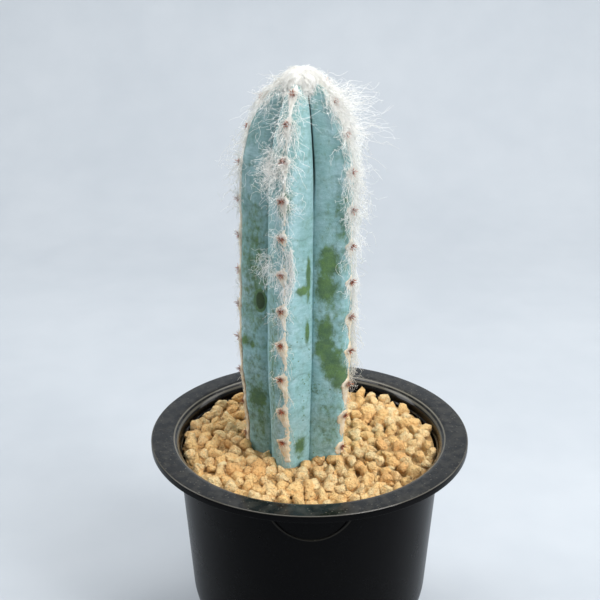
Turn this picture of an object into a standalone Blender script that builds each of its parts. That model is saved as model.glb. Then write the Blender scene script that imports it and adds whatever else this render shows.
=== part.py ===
"""Potted columnar cactus: a five-ribbed blue stem with woolly areoles, in a black wide-rimmed plastic pot.

Units are metres, +Z is up, and the origin is the centre of the pot's base.
Heights on the plant are given above the gravel, those on the pot above its base.
"""

import math
import random

import bmesh
import bpy
from mathutils import Matrix, Vector, noise

# ---------------------------------------------------------------- pot
POT_HEIGHT = 0.120
RIM_RADIUS = 0.075
RIM_THICKNESS = 0.0016
RIM_LIP_DROP = 0.0034
RIM_LIP_THICKNESS = 0.0016
RIM_EDGE_ROUND = 0.0006
BODY_TOP_RADIUS = 0.0628
BODY_KNEE_RADIUS = 0.0570
BODY_KNEE_HEIGHT = 0.040
BODY_FOOT_RADIUS = 0.0480
WALL = 0.0016
SHOULDER_ROUND = 0.0052
SEAT_STEP = 0.0006
SEAT_STEP_DEPTH = 0.0058
FLOOR_HEIGHT = 0.0030
FLOOR_THICKNESS = 0.0020
FOOT_RING_WIDTH = 0.0045
POT_STEPS = 56
DRAIN_CENTRE_RADIUS = 0.0060
DRAIN_HOLE_RADIUS = 0.0040
DRAIN_HOLE_COUNT = 6
DRAIN_CIRCLE_RADIUS = 0.0270
THUMB_ARC_RADIUS = 0.0207
THUMB_ARC_OFFSET = 0.0005
THUMB_RECESS_BOTTOM = 0.0210
THUMB_RECESS_DEPTH = 0.0005

# ---------------------------------------------------------------- filling
CLEARANCE = 0.0004
GRAVEL_LEVEL = 0.0062
GRAVEL_DEPTH = 0.0110
GRAVEL_BUMP = 0.0014
GRAVEL_BUMP_SIZE = 0.0075
GRAVEL_RINGS = 10
GRAVEL_STEPS = 60
LOOSE_STONE_COUNT = 24
LOOSE_STONE_RADIUS = 0.0034
LOOSE_STONE_SPREAD = 0.0007
MIX_STEPS = 48

# ---------------------------------------------------------------- plant
RIBS = 5
FRONT_RIB_ANGLE = math.radians(-90.0 - 18.0)
STEM_X = -0.0050
STEM_LEAN = 0.0015
STEM_HEIGHT = 0.1775
BASE_RADIUS = 0.0236
BELLY_RADIUS = 0.0268
BELLY_HEIGHT = 0.055
SHOULDER_RADIUS = 0.0262
DOME_HEIGHT = 0.0475
SHOULDER_HEIGHT = STEM_HEIGHT - DOME_HEIGHT
BURIED_DEPTH = 0.034
ROOT_STUMP_RADIUS = 0.0120
CREST_ROUNDING = 0.24
VALLEY_SHARE = 0.64
VALLEY_SHARE_TOP = 0.50
CREST_ARC_STEPS = 5
FLANK_BULGE = 0.022
STEM_LEVELS = 28
AREOLE_PITCH = 0.0165
AREOLE_PHASES = (0.0130, 0.0060, 0.0140, 0.0100, 0.0060)
FELT_WIDTH = 0.0042
FELT_THICKNESS = 0.0009
CUSHION_WIDTH = 0.0066
CUSHION_THICKNESS = 0.0022
FELT_DRIFT = 0.0020
FELT_START = 0.0035
FELT_GAP = 0.0005
FELT_OUTLINE = (
    (-1.0, 0.0),
    (-0.34, 0.0),
    (0.34, 0.0),
    (1.0, 0.0),
    (1.05, 0.45),
    (0.5, 0.95),
    (-0.5, 0.95),
    (-1.05, 0.45),
)
SPINE_LENGTH = 0.0042
SPINE_RADIUS = 0.00032
SPINE_SIDES = 3
SPINE_SPREAD = math.radians(38.0)
CROWN_WOOL_RADIUS = 0.0100
CROWN_WOOL_RISE = 0.0029
CROWN_STEPS = 20
HAIR_EDGE = 0.0007
HAIR_CHANNEL = 0.0044
HAIR_TURN = 1.08
# name, rib, how far below the stem's top each bundle ends and starts, and its thickness
HAIR_BUNDLES = (
    ("hair_tuft_front", 0, 0.0515, 0.0295, 0.0016),
    ("hair_curtain_right", 1, 0.0795, 0.0155, 0.0030),
    ("hair_tuft_left", 4, 0.0555, 0.0255, 0.0020),
)


def clear_scene():
    for obj in list(bpy.data.objects):
        bpy.data.objects.remove(obj)


def new_collection(name):
    collection = bpy.data.collections.new(name)
    bpy.context.scene.collection.children.link(collection)
    return collection


def make_material(name, colour, roughness, metallic=0.0):
    material = bpy.data.materials.new(name)
    material.use_nodes = True
    shader = material.node_tree.nodes["Principled BSDF"]
    shader.inputs["Base Color"].default_value = (*colour, 1.0)
    shader.inputs["Roughness"].default_value = roughness
    shader.inputs["Metallic"].default_value = metallic
    return material


def add_object(name, bm, collection, material=None, smooth_angle=math.radians(40)):
    mesh = bpy.data.meshes.new(name)
    bm.to_mesh(mesh)
    bm.free()
    mesh.shade_smooth()
    mesh.set_sharp_from_angle(angle=smooth_angle)
    obj = bpy.data.objects.new(name, mesh)
    collection.objects.link(obj)
    if material:
        mesh.materials.append(material)
    return obj


def as_cutter(obj):
    obj.hide_render = True
    obj.display_type = "WIRE"
    return obj


def turned(name, profile, steps, collection, material=None, closed=False):
    """A profile of (radius, height) points turned about Z. It runs down its outer side."""
    bm = bmesh.new()
    points = [bm.verts.new((radius, 0.0, height)) for radius, height in profile]
    ends = zip(points, points[1:] + points[:1]) if closed else zip(points, points[1:])
    for first, second in ends:
        bm.edges.new((first, second))
    obj = add_object(name, bm, collection, material)
    screw = obj.modifiers.new("turn", "SCREW")
    screw.steps = steps
    screw.render_steps = steps
    screw.use_merge_vertices = True
    screw.merge_threshold = 0.00001
    return obj


def combine(target, other, operation):
    boolean = target.modifiers.new(f"{operation.lower()} {other.name}", "BOOLEAN")
    boolean.operation = operation
    boolean.solver = "EXACT"
    boolean.object = other
    return boolean


def loft(rings, start=None, end=None):
    """A closed bmesh over rings of equal length that run counter-clockwise about the way they are stacked.

    start and end are pole points. Without them the end rings are capped flat.
    """
    bm = bmesh.new()
    rows = [[bm.verts.new(point) for point in ring] for ring in rings]
    count = len(rings[0])
    for lower, upper in zip(rows, rows[1:]):
        for i in range(count):
            j = (i + 1) % count
            bm.faces.new((lower[i], lower[j], upper[j], upper[i]))
    for row, pole, turn in ((rows[0], start, -1), (rows[-1], end, 1)):
        ordered = row[::turn]
        if pole is None:
            bm.faces.new(ordered)
            continue
        tip = bm.verts.new(pole)
        for i in range(count):
            bm.faces.new((ordered[i], ordered[(i + 1) % count], tip))
    return bm


# ---------------------------------------------------------------- the pot
def body_radius(height):
    """Outer radius of the pot's wall."""
    if height < BODY_KNEE_HEIGHT:
        low, high, start = BODY_FOOT_RADIUS, BODY_KNEE_RADIUS, 0.0
        end = BODY_KNEE_HEIGHT
    else:
        low, high, start = BODY_KNEE_RADIUS, BODY_TOP_RADIUS, BODY_KNEE_HEIGHT
        end = POT_HEIGHT
    return low + (high - low) * (height - start) / (end - start)


def inner_radius(height):
    """Inner radius of the pot's wall below the seat step."""
    return body_radius(height) - WALL


def arc(radius, height, size, start, end, steps):
    """Points of an arc about (radius, height) in the profile's plane."""
    turns = [start + (end - start) * i / steps for i in range(steps + 1)]
    return [(radius + size * math.cos(turn), height + size * math.sin(turn)) for turn in turns]


def make_pot(collection, cutters, material):
    top = POT_HEIGHT
    floor_top = FLOOR_HEIGHT + FLOOR_THICKNESS
    step_height = top - SEAT_STEP_DEPTH
    mouth = inner_radius(step_height) + SEAT_STEP
    bend = (mouth + SHOULDER_ROUND, top - SHOULDER_ROUND)
    edge = RIM_EDGE_ROUND
    under_rim = top - RIM_THICKNESS
    quarter = math.pi / 2
    profile = [
        (0.0, floor_top),
        (inner_radius(floor_top) - 0.0015, floor_top),
        (inner_radius(floor_top + 0.0015), floor_top + 0.0015),
        (inner_radius(BODY_KNEE_HEIGHT), BODY_KNEE_HEIGHT),
        (inner_radius(step_height), step_height - SEAT_STEP),
        (mouth, step_height),
        *arc(*bend, SHOULDER_ROUND, math.pi, quarter, 5),
        *arc(RIM_RADIUS - edge, top - edge, edge, quarter, 0.0, 3),
        (RIM_RADIUS, top - RIM_LIP_DROP),
        (RIM_RADIUS - RIM_LIP_THICKNESS, top - RIM_LIP_DROP),
        (RIM_RADIUS - RIM_LIP_THICKNESS, under_rim),
        *arc(*bend, SHOULDER_ROUND - RIM_THICKNESS, quarter, math.pi, 4),
        (body_radius(step_height), step_height - SEAT_STEP),
        (BODY_KNEE_RADIUS, BODY_KNEE_HEIGHT),
        (BODY_FOOT_RADIUS + 0.0003, 0.0010),
        (BODY_FOOT_RADIUS - 0.0005, 0.0),
        (BODY_FOOT_RADIUS - FOOT_RING_WIDTH, 0.0),
        (BODY_FOOT_RADIUS - FOOT_RING_WIDTH - 0.0005, FLOOR_HEIGHT),
        (0.0, FLOOR_HEIGHT),
    ]
    pot = turned("pot", profile, POT_STEPS, collection, material)
    for drill in drain_drills(cutters):
        combine(pot, drill, "DIFFERENCE")
    combine(pot, thumb_recess_cutter(cutters), "DIFFERENCE")
    return pot


def drain_drills(cutters):
    """Cylinders through the pot's floor: one in the middle and a ring round it."""
    places = [(0.0, 0.0, DRAIN_CENTRE_RADIUS)]
    for i in range(DRAIN_HOLE_COUNT):
        turn = math.tau * (i + 0.5) / DRAIN_HOLE_COUNT
        x = DRAIN_CIRCLE_RADIUS * math.cos(turn)
        y = DRAIN_CIRCLE_RADIUS * math.sin(turn)
        places.append((x, y, DRAIN_HOLE_RADIUS))
    drills = []
    for i, (x, y, radius) in enumerate(places):
        bm = bmesh.new()
        bmesh.ops.create_cone(
            bm,
            cap_ends=True,
            segments=20,
            radius1=radius,
            radius2=radius,
            depth=FLOOR_THICKNESS * 4,
        )
        drill = add_object(f"drain_drill_{i}", bm, cutters)
        drill.location = (x, y, FLOOR_HEIGHT + FLOOR_THICKNESS / 2)
        drills.append(as_cutter(drill))
    return drills


def thumb_recess_cutter(cutters):
    """A thin skin of the wall, cut to a half-moon under the rim at the front."""
    top = POT_HEIGHT - SEAT_STEP_DEPTH - SEAT_STEP
    bottom = POT_HEIGHT - THUMB_RECESS_BOTTOM - 0.004
    depth = THUMB_RECESS_DEPTH
    profile = [
        (body_radius(top) - depth, top),
        (body_radius(top) + 0.004, top),
        (body_radius(bottom) + 0.004, bottom),
        (body_radius(bottom) - depth, bottom),
    ]
    skin = turned("thumb_recess_skin", profile, POT_STEPS, cutters, closed=True)
    bm = bmesh.new()
    bmesh.ops.create_cone(
        bm,
        cap_ends=True,
        segments=48,
        radius1=THUMB_ARC_RADIUS,
        radius2=THUMB_ARC_RADIUS,
        depth=RIM_RADIUS,
        matrix=Matrix.Rotation(math.pi / 2, 4, "X"),
    )
    disc = add_object("thumb_recess_disc", bm, cutters)
    disc.location = (THUMB_ARC_OFFSET, -RIM_RADIUS, POT_HEIGHT - THUMB_RECESS_BOTTOM + THUMB_ARC_RADIUS)
    combine(skin, as_cutter(disc), "INTERSECT")
    return as_cutter(skin)


# ---------------------------------------------------------------- the stem's form
def gravel_height():
    return POT_HEIGHT - GRAVEL_LEVEL


def ease(share):
    share = min(1.0, max(0.0, share))
    return share * share * (3 - 2 * share)


def crest_radius(height):
    """Distance of a rib's crest from the stem's axis, at a height above the gravel."""
    if height >= SHOULDER_HEIGHT:
        rise = (height - SHOULDER_HEIGHT) / (STEM_HEIGHT - SHOULDER_HEIGHT)
        return SHOULDER_RADIUS * math.sqrt(max(0.0, 1 - rise * rise))
    if height >= BELLY_HEIGHT:
        share = ease((height - BELLY_HEIGHT) / (SHOULDER_HEIGHT - BELLY_HEIGHT))
        return BELLY_RADIUS + (SHOULDER_RADIUS - BELLY_RADIUS) * share
    if height >= 0:
        return BASE_RADIUS + (BELLY_RADIUS - BASE_RADIUS) * ease(height / BELLY_HEIGHT)
    share = ease(-height / BURIED_DEPTH)
    return BASE_RADIUS + (ROOT_STUMP_RADIUS - BASE_RADIUS) * share


def valley_share(height):
    """The valley's radius as a share of the crest's: shallow in the buried stump, deep at the top."""
    if height < 0:
        return VALLEY_SHARE + (0.80 - VALLEY_SHARE) * ease(-height / BURIED_DEPTH)
    top = ease((height - SHOULDER_HEIGHT) / (STEM_HEIGHT - SHOULDER_HEIGHT))
    return VALLEY_SHARE + (VALLEY_SHARE_TOP - VALLEY_SHARE) * top


def stem_axis(height):
    lean = STEM_LEAN * max(0.0, height) / STEM_HEIGHT
    return Vector((STEM_X + lean, 0.0, gravel_height() + height))


def flank(start, end, bulge):
    """The two points of a rib's plump flank between its crest's arc and the valley."""
    run = Vector((end[0] - start[0], end[1] - start[1]))
    outward = Vector((run.y, -run.x)).normalized() * bulge
    points = []
    for share in (1 / 3, 2 / 3):
        point = Vector(start) + run * share + outward
        points.append((point.x, point.y))
    return points


def next_crest_start(point):
    """Where the next rib's arc starts, seen from this rib."""
    spin = math.tau / RIBS
    x, y = point
    return x * math.cos(spin) - y * math.sin(spin), x * math.sin(spin) + y * math.cos(spin)


def stem_section(height, clearance=0.0):
    """The stem's outline at a height: an arc over each crest, and plump flanks into the valleys."""
    crest = crest_radius(height)
    valley = crest * valley_share(height) + clearance
    rounding = crest * CREST_ROUNDING
    crest += clearance
    half = math.pi / RIBS
    centre = crest - rounding
    valley_x = valley * math.cos(half)
    valley_y = valley * math.sin(half)
    reach = math.hypot(valley_x - centre, valley_y)
    facing = math.atan2(valley_y, valley_x - centre)
    tangent = facing - math.acos(rounding / reach)
    lobe = []
    for i in range(CREST_ARC_STEPS + 1):
        turn = tangent * (2 * i / CREST_ARC_STEPS - 1)
        lobe.append((centre + rounding * math.cos(turn), rounding * math.sin(turn)))
    lobe += flank(lobe[-1], (valley_x, valley_y), FLANK_BULGE * crest)
    lobe.append((valley_x, valley_y))
    lobe += flank((valley_x, valley_y), next_crest_start(lobe[0]), FLANK_BULGE * crest)
    axis = stem_axis(height)
    ring = []
    for rib in range(RIBS):
        spin = FRONT_RIB_ANGLE + math.tau * rib / RIBS
        for x, y in lobe:
            turned_x = x * math.cos(spin) - y * math.sin(spin)
            turned_y = x * math.sin(spin) + y * math.cos(spin)
            ring.append(axis + Vector((turned_x, turned_y, 0.0)))
    return ring


def stem_heights():
    """Levels of the stem's sections, closer together over the dome."""
    heights = []
    for i in range(STEM_LEVELS + 1):
        share = i / STEM_LEVELS
        bend = math.sin(share * math.pi / 2)
        heights.append(-BURIED_DEPTH + (STEM_HEIGHT - 0.0008 + BURIED_DEPTH) * bend)
    return heights


def stem_bmesh(clearance=0.0):
    heights = stem_heights()
    rings = [stem_section(height, clearance) for height in heights]
    bottom = stem_axis(0.0)
    bottom.z = gravel_height() - BURIED_DEPTH - 0.004 - clearance
    top = stem_axis(STEM_HEIGHT)
    top.z += clearance
    return loft(rings, start=bottom, end=top)


# ---------------------------------------------------------------- gravel and mix
def stone_places():
    """Centres and radii of the loose stones, spread over the gravel on a sunflower spiral."""
    rng = random.Random(11)
    inner = BASE_RADIUS + LOOSE_STONE_RADIUS + 0.0042
    outer = inner_radius(gravel_height()) - LOOSE_STONE_RADIUS - 0.0030
    places = []
    for i in range(LOOSE_STONE_COUNT):
        share = (i + 0.5) / LOOSE_STONE_COUNT
        distance = math.sqrt(inner**2 + (outer**2 - inner**2) * share)
        turn = i * math.pi * (3 - math.sqrt(5)) + rng.uniform(-0.15, 0.15)
        radius = LOOSE_STONE_RADIUS + rng.uniform(-1, 1) * LOOSE_STONE_SPREAD
        x = distance * math.cos(turn) + STEM_X * (1 - share)
        places.append((x, distance * math.sin(turn), radius))
    return places


def stone_seat(radius):
    """Height of a loose stone's underside: it sits a little into the layer."""
    return gravel_height() - radius * 0.55


def make_loose_stones(collection, material):
    rng = random.Random(23)
    for i, (x, y, radius) in enumerate(stone_places(), start=1):
        bm = bmesh.new()
        bmesh.ops.create_icosphere(bm, subdivisions=2, radius=radius)
        shape = Vector((rng.uniform(0.92, 1.05), rng.uniform(0.80, 0.95), 0.78))
        offset = Vector((i * 1.7, i * 0.6, i * 2.3))
        spin = Matrix.Rotation(rng.uniform(0, math.tau), 3, "Z")
        for vert in bm.verts:
            lump = 1 + 0.16 * noise.noise(vert.co / radius * 1.2 + offset)
            vert.co = spin @ (vert.co * lump * shape)
        lowest = min(vert.co.z for vert in bm.verts)
        stone = add_object(f"gravel_stone_{i:02d}", bm, collection, material)
        stone.location = (x, y, stone_seat(radius) - lowest)


def gravel_top(x, y):
    """Height of the gravel layer's lumpy top, lowered to a flat seat under each loose stone."""
    lumps = noise.noise(Vector((x, y, 0.0)) / GRAVEL_BUMP_SIZE * 1.6)
    height = gravel_height() - 0.0012 + GRAVEL_BUMP * lumps
    for stone_x, stone_y, radius in stone_places():
        if math.hypot(x - stone_x, y - stone_y) < radius * 1.12 + 0.0034:
            height = min(height, stone_seat(radius) - CLEARANCE)
    return height


def make_gravel_bed(collection, cutters, material):
    """The layer of small stones as one body: a lumpy disc, cut out round the stem."""
    bottom = gravel_height() - GRAVEL_DEPTH
    rings = []
    for i in range(GRAVEL_RINGS):
        share = 1 - i / GRAVEL_RINGS
        ring = []
        for j in range(GRAVEL_STEPS):
            turn = math.tau * j / GRAVEL_STEPS
            radius = (inner_radius(bottom) - CLEARANCE) * share
            x, y = radius * math.cos(turn), radius * math.sin(turn)
            ring.append(Vector((x, y, gravel_top(x, y))))
        rings.append(ring)
    base = [Vector((point.x, point.y, bottom)) for point in rings[0]]
    middle = Vector((0.0, 0.0, gravel_height()))
    bm = loft([base, *rings], start=None, end=middle)
    bed = add_object("gravel_bed", bm, collection, material, math.radians(60))
    cutter = add_object("stem_socket", stem_bmesh(CLEARANCE * 1.5), cutters)
    combine(bed, as_cutter(cutter), "DIFFERENCE")
    return bed, cutter


def make_potting_mix(collection, cutter, material):
    """The compost under the gravel, filling the pot down to its floor."""
    top = gravel_height() - GRAVEL_DEPTH - CLEARANCE
    bottom = FLOOR_HEIGHT + FLOOR_THICKNESS + CLEARANCE
    gap = CLEARANCE * 1.5
    profile = [
        (0.0, top),
        (inner_radius(top) - gap, top),
        (inner_radius(BODY_KNEE_HEIGHT) - gap, BODY_KNEE_HEIGHT),
        (inner_radius(bottom) - 0.0022, bottom),
        (0.0, bottom),
    ]
    mix = turned("potting_mix", profile, MIX_STEPS, collection, material)
    combine(mix, cutter, "DIFFERENCE")
    return mix


# ---------------------------------------------------------------- areoles
def crest_frame(rib, height):
    """A point on a rib's crest, with the directions out of it, up along it and to its right."""
    step = 0.0005
    spin = FRONT_RIB_ANGLE + math.tau * rib / RIBS
    out = Vector((math.cos(spin), math.sin(spin), 0.0))

    def crest_point(level):
        return stem_axis(level) + out * crest_radius(level)

    along = (crest_point(height + step) - crest_point(height - step)).normalized()
    right = Vector((-math.sin(spin), math.cos(spin), 0.0))
    return crest_point(height), right.cross(along).normalized(), along, right


def crest_curve_radius(height, out):
    """Radius of the crest across its own line, which flattens as the rib leans over the dome."""
    return crest_radius(height) * CREST_ROUNDING / max(0.3, math.hypot(out.x, out.y))


def areole_heights(rib):
    """Heights of a rib's areoles: evenly spaced up the column, closer along the arc near the tip."""
    heights = []
    height, travelled, spacing = FELT_START, 0.0, AREOLE_PHASES[rib] - FELT_START
    step = 0.0002
    while height < STEM_HEIGHT - 0.0035:
        change = crest_radius(height + step) - crest_radius(height)
        travelled += math.hypot(step, change)
        height += step
        if travelled >= spacing:
            heights.append(height)
            travelled = 0.0
            above = ease((height - SHOULDER_HEIGHT) / (STEM_HEIGHT - SHOULDER_HEIGHT))
            spacing = AREOLE_PITCH * (1 - 0.28 * above)
    return heights


def felt_stations(rib):
    """(height, cushion share, drift share) along a rib, with four stations to each areole."""
    areoles = areole_heights(rib)
    ends = [FELT_START, *areoles, STEM_HEIGHT - 0.0018]
    stations = []
    for low, high in zip(ends, ends[1:]):
        for share in (0.0, 0.22, 0.5, 0.78):
            height = low + (high - low) * share
            near = max(0.0, 1 - min(share, 1 - share) / 0.3)
            if low == FELT_START and share < 0.5:
                near = 0.0
            if high == ends[-1] and share > 0.5:
                near = 0.0
            stations.append((height, ease(near), math.sin(share * math.pi)))
    return [station for station in stations if crest_radius(station[0]) > CROWN_WOOL_RADIUS + 0.0012]


def felt_ring(rib, height, cushion, drift):
    """One section of the felt strip: it hugs the rounded crest and bulges at an areole."""
    point, out, _, right = crest_frame(rib, height)
    rounding = crest_curve_radius(height, out)
    half = (FELT_WIDTH + (CUSHION_WIDTH - FELT_WIDTH) * cushion) / 2
    half = min(half, crest_radius(height) * CREST_ROUNDING * 0.62)
    thick = FELT_THICKNESS + (CUSHION_THICKNESS - FELT_THICKNESS) * cushion
    shift = FELT_DRIFT * drift
    ring = []
    for across, lift in FELT_OUTLINE:
        turn = (shift + half * across) / rounding
        reach = rounding + FELT_GAP + thick * lift
        ring.append(point + out * (reach * math.cos(turn) - rounding) + right * (reach * math.sin(turn)))
    return ring


def spine_bmesh(rib, height):
    """The two leading spines of an areole, rooted in its cushion."""
    point, out, along, right = crest_frame(rib, height)
    bm = bmesh.new()
    for lean, side in ((0.35, 0.2), (-0.30, -0.5)):
        direction = (out + (along * lean + right * side) * math.tan(SPINE_SPREAD)).normalized()
        base = point + out * (FELT_GAP + 0.0005)
        length = SPINE_LENGTH * (1.0 if lean > 0 else 0.75)
        facing = direction.to_track_quat("Z", "X").to_matrix().to_4x4()
        place = Matrix.Translation(base + direction * length / 2) @ facing
        bmesh.ops.create_cone(
            bm,
            cap_ends=True,
            segments=SPINE_SIDES,
            radius1=SPINE_RADIUS,
            radius2=SPINE_RADIUS * 0.25,
            depth=length,
            matrix=place,
        )
    return bm


def under_hair(rib, height):
    """Whether an areole lies under a bundle of hair, where its spines don't show."""
    reach = SPINE_LENGTH * 1.2
    drop = STEM_HEIGHT - height
    return any(rib == where and high - reach < drop < low + reach for _, where, low, high, _ in HAIR_BUNDLES)


def make_areole_rows(collection, cutters, material):
    """One strip of felt on each rib, with its cushions and leading spines grown into it."""
    for rib in range(RIBS):
        rings = [felt_ring(rib, *station) for station in felt_stations(rib)]
        bm = loft([ring[::-1] for ring in rings])
        bmesh.ops.recalc_face_normals(bm, faces=bm.faces)
        strip = add_object(f"areole_row_{rib + 1}", bm, collection, material)
        spines = bmesh.new()
        for height in areole_heights(rib):
            if crest_radius(height) < CROWN_WOOL_RADIUS + 0.0040 or under_hair(rib, height):
                continue
            cluster = spine_bmesh(rib, height)
            mesh = bpy.data.meshes.new("spine_cluster")
            cluster.to_mesh(mesh)
            cluster.free()
            spines.from_mesh(mesh)
            bpy.data.meshes.remove(mesh)
        thorns = add_object(f"spines_{rib + 1}", spines, cutters)
        combine(strip, as_cutter(thorns), "UNION")


# ---------------------------------------------------------------- wool
def make_crown_wool(collection, cutters, material):
    """The cap of white wool over the growing tip, hollowed by the stem beneath it."""
    tip = stem_axis(STEM_HEIGHT)
    low = -0.0085
    profile = [(0.0, CROWN_WOOL_RISE)]
    for i in range(1, 7):
        turn = math.pi / 2 * i / 6
        profile.append((CROWN_WOOL_RADIUS * math.sin(turn), low + (CROWN_WOOL_RISE - low) * math.cos(turn)))
    profile.append((0.0, low))
    wool = turned("crown_wool", profile, CROWN_STEPS, collection, material)
    wool.location = tip
    cutter = add_object("crown_socket", stem_bmesh(CLEARANCE), cutters)
    combine(wool, as_cutter(cutter), "DIFFERENCE")


def hair_underside(offset):
    """Height of a hair bundle's underside above the crest's skin: it arches over the felt beneath it."""
    channel = ease((HAIR_CHANNEL + 0.0014 - abs(offset)) / 0.0014)
    return FELT_GAP + (CUSHION_THICKNESS + CLEARANCE) * channel


def hair_bmesh(rib, low, high, thickness, levels=9, columns=10):
    """A saddle of hair lying over a rib, thick in its middle and thin at its edges."""

    def surface(up, turn, share, raised):
        height = low + (high - low) * up
        point, out, _, right = crest_frame(rib, height)
        rounding = crest_curve_radius(height, out)
        plump = math.sin(math.pi * share) * raised
        reach = rounding + hair_underside(turn * rounding) + plump + (HAIR_EDGE if raised else 0.0)
        return point + out * (reach * math.cos(turn) - rounding) + right * (reach * math.sin(turn))

    rings = []
    shares = [i / columns for i in range(columns + 1)]
    for i in range(levels):
        up = (1 - math.cos(math.pi * (i + 0.5) / levels)) / 2
        spread = 0.55 + 0.45 * math.sin(up * math.pi)
        turns = [HAIR_TURN * (2 * share - 1) * spread for share in shares]
        raised = thickness * math.sin(up * math.pi)
        ring = [surface(up, turn, share, 0.0) for turn, share in zip(turns, shares)]
        ring += [surface(up, turn, share, raised) for turn, share in zip(turns[::-1], shares[::-1])]
        rings.append(ring)
    return loft(rings)


def make_hair(collection, material):
    """Bundles of long hair: one over the front rib, one down the right-hand rib, one on the left."""
    for name, rib, low, high, thickness in HAIR_BUNDLES:
        bm = hair_bmesh(rib, STEM_HEIGHT - low, STEM_HEIGHT - high, thickness)
        bmesh.ops.recalc_face_normals(bm, faces=bm.faces)
        add_object(name, bm, collection, material)


def main():
    clear_scene()
    parts = new_collection("potted_columnar_cactus")
    cutters = new_collection("cutters")
    plastic = make_material("pot_plastic", (0.012, 0.013, 0.014), 0.35)
    compost = make_material("compost", (0.06, 0.04, 0.025), 0.95)
    gravel = make_material("gravel", (0.70, 0.47, 0.25), 0.90)
    skin = make_material("stem_skin", (0.24, 0.44, 0.44), 0.55)
    felt = make_material("areole_felt", (0.62, 0.55, 0.44), 0.90)
    wool = make_material("white_wool", (0.88, 0.88, 0.85), 0.85)

    make_pot(parts, cutters, plastic)
    bed, socket = make_gravel_bed(parts, cutters, gravel)
    make_potting_mix(parts, socket, compost)
    make_loose_stones(parts, gravel)
    add_object("cactus_stem", stem_bmesh(), parts, skin)
    make_areole_rows(parts, cutters, felt)
    make_crown_wool(parts, cutters, wool)
    make_hair(parts, wool)


main()
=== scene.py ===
import math

import bmesh
import bpy
import numpy as np
from mathutils import Matrix, Vector, noise


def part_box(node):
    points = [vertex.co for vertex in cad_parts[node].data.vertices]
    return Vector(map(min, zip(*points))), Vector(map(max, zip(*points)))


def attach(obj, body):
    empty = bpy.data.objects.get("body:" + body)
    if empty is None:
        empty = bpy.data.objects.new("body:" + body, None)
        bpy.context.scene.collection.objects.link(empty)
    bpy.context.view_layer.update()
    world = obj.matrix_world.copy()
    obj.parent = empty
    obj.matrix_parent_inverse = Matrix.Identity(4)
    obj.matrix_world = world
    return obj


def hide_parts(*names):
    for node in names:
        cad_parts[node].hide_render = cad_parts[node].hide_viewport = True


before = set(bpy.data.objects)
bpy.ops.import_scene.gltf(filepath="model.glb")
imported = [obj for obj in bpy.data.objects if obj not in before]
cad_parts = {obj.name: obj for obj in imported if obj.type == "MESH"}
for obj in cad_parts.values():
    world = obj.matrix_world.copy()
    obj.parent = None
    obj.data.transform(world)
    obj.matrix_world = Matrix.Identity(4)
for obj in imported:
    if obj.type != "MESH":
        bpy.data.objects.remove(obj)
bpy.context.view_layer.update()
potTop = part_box("pot")[1].z
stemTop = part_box("cactus_stem")[1].z
stoneNodes = sorted(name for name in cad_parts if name.startswith("gravel_stone"))
rng = np.random.default_rng(41)
print("frame loaded:", len(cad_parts), "nodes")


# small helpers

def addNode(tree, kind, values=None, **settings):
    made = tree.nodes.new(kind)
    for key, value in settings.items():
        setattr(made, key, value)
    for key, value in (values or {}).items():
        socket = made.inputs[key]
        if isinstance(value, bpy.types.NodeSocket):
            tree.links.new(value, socket)
        else:
            socket.default_value = value
    return made


def addMath(tree, operation, *values):
    return addNode(tree, "ShaderNodeMath", dict(enumerate(values)), operation=operation).outputs[0]


def times(tree, first, second):
    return addMath(tree, "MULTIPLY", first, second)


def addNoise(tree, place, scale, detail, roughness=0.5):
    values = {"Vector": place, "Scale": scale, "Detail": detail, "Roughness": roughness}
    return addNode(tree, "ShaderNodeTexNoise", values).outputs["Fac"]


def splitXyz(tree, vector):
    return addNode(tree, "ShaderNodeSeparateXYZ", {0: vector}).outputs


def surfaceNormal(tree):
    return addNode(tree, "ShaderNodeNewGeometry").outputs["Normal"]


def addVectorMath(tree, operation, *values):
    made = addNode(tree, "ShaderNodeVectorMath", dict(enumerate(values)), operation=operation)
    return made.outputs["Value"] if operation == "LENGTH" else made.outputs[0]


def scaled(tree, vector, factor):
    made = addNode(tree, "ShaderNodeVectorMath", {0: vector, "Scale": factor}, operation="SCALE")
    return made.outputs[0]


def smoothRange(tree, value, low, high, toLow=0.0, toHigh=1.0):
    made = addNode(
        tree,
        "ShaderNodeMapRange",
        {"Value": value, "From Min": low, "From Max": high, "To Min": toLow, "To Max": toHigh},
        interpolation_type="SMOOTHSTEP",
    )
    return made.outputs[0]


def mixColours(tree, factor, first, second):
    values = {0: factor, 6: first, 7: second}
    for index in (6, 7):
        if isinstance(values[index], tuple):
            values[index] = (*values[index], 1.0)
    return addNode(tree, "ShaderNodeMix", values, data_type="RGBA").outputs[2]


def combineXyz(tree, x=0.0, y=0.0, z=0.0):
    return addNode(tree, "ShaderNodeCombineXYZ", {0: x, 1: y, 2: z}).outputs[0]


def randomValue(tree, seed, low=0.0, high=1.0):
    # one number for each point, or one vector where low and high are vectors
    if isinstance(low, tuple):
        values = {0: low, 1: high, "Seed": seed}
        return addNode(tree, "FunctionNodeRandomValue", values, data_type="FLOAT_VECTOR").outputs[0]
    return addNode(tree, "FunctionNodeRandomValue", {2: low, 3: high, "Seed": seed}).outputs[1]


def namedAttribute(tree, name, kind="FLOAT"):
    return addNode(tree, "GeometryNodeInputNamedAttribute", {"Name": name}, data_type=kind).outputs[0]


def storeAttribute(tree, geometry, name, value, domain):
    values = {"Geometry": geometry, "Name": name, "Value": value}
    return addNode(tree, "GeometryNodeStoreNamedAttribute", values, domain=domain).outputs[0]


def movePoints(tree, geometry, offset):
    return addNode(tree, "GeometryNodeSetPosition", {"Geometry": geometry, "Offset": offset}).outputs[0]


def realizeAll(tree, geometry):
    return addNode(tree, "GeometryNodeRealizeInstances", {0: geometry}).outputs[0]


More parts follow.
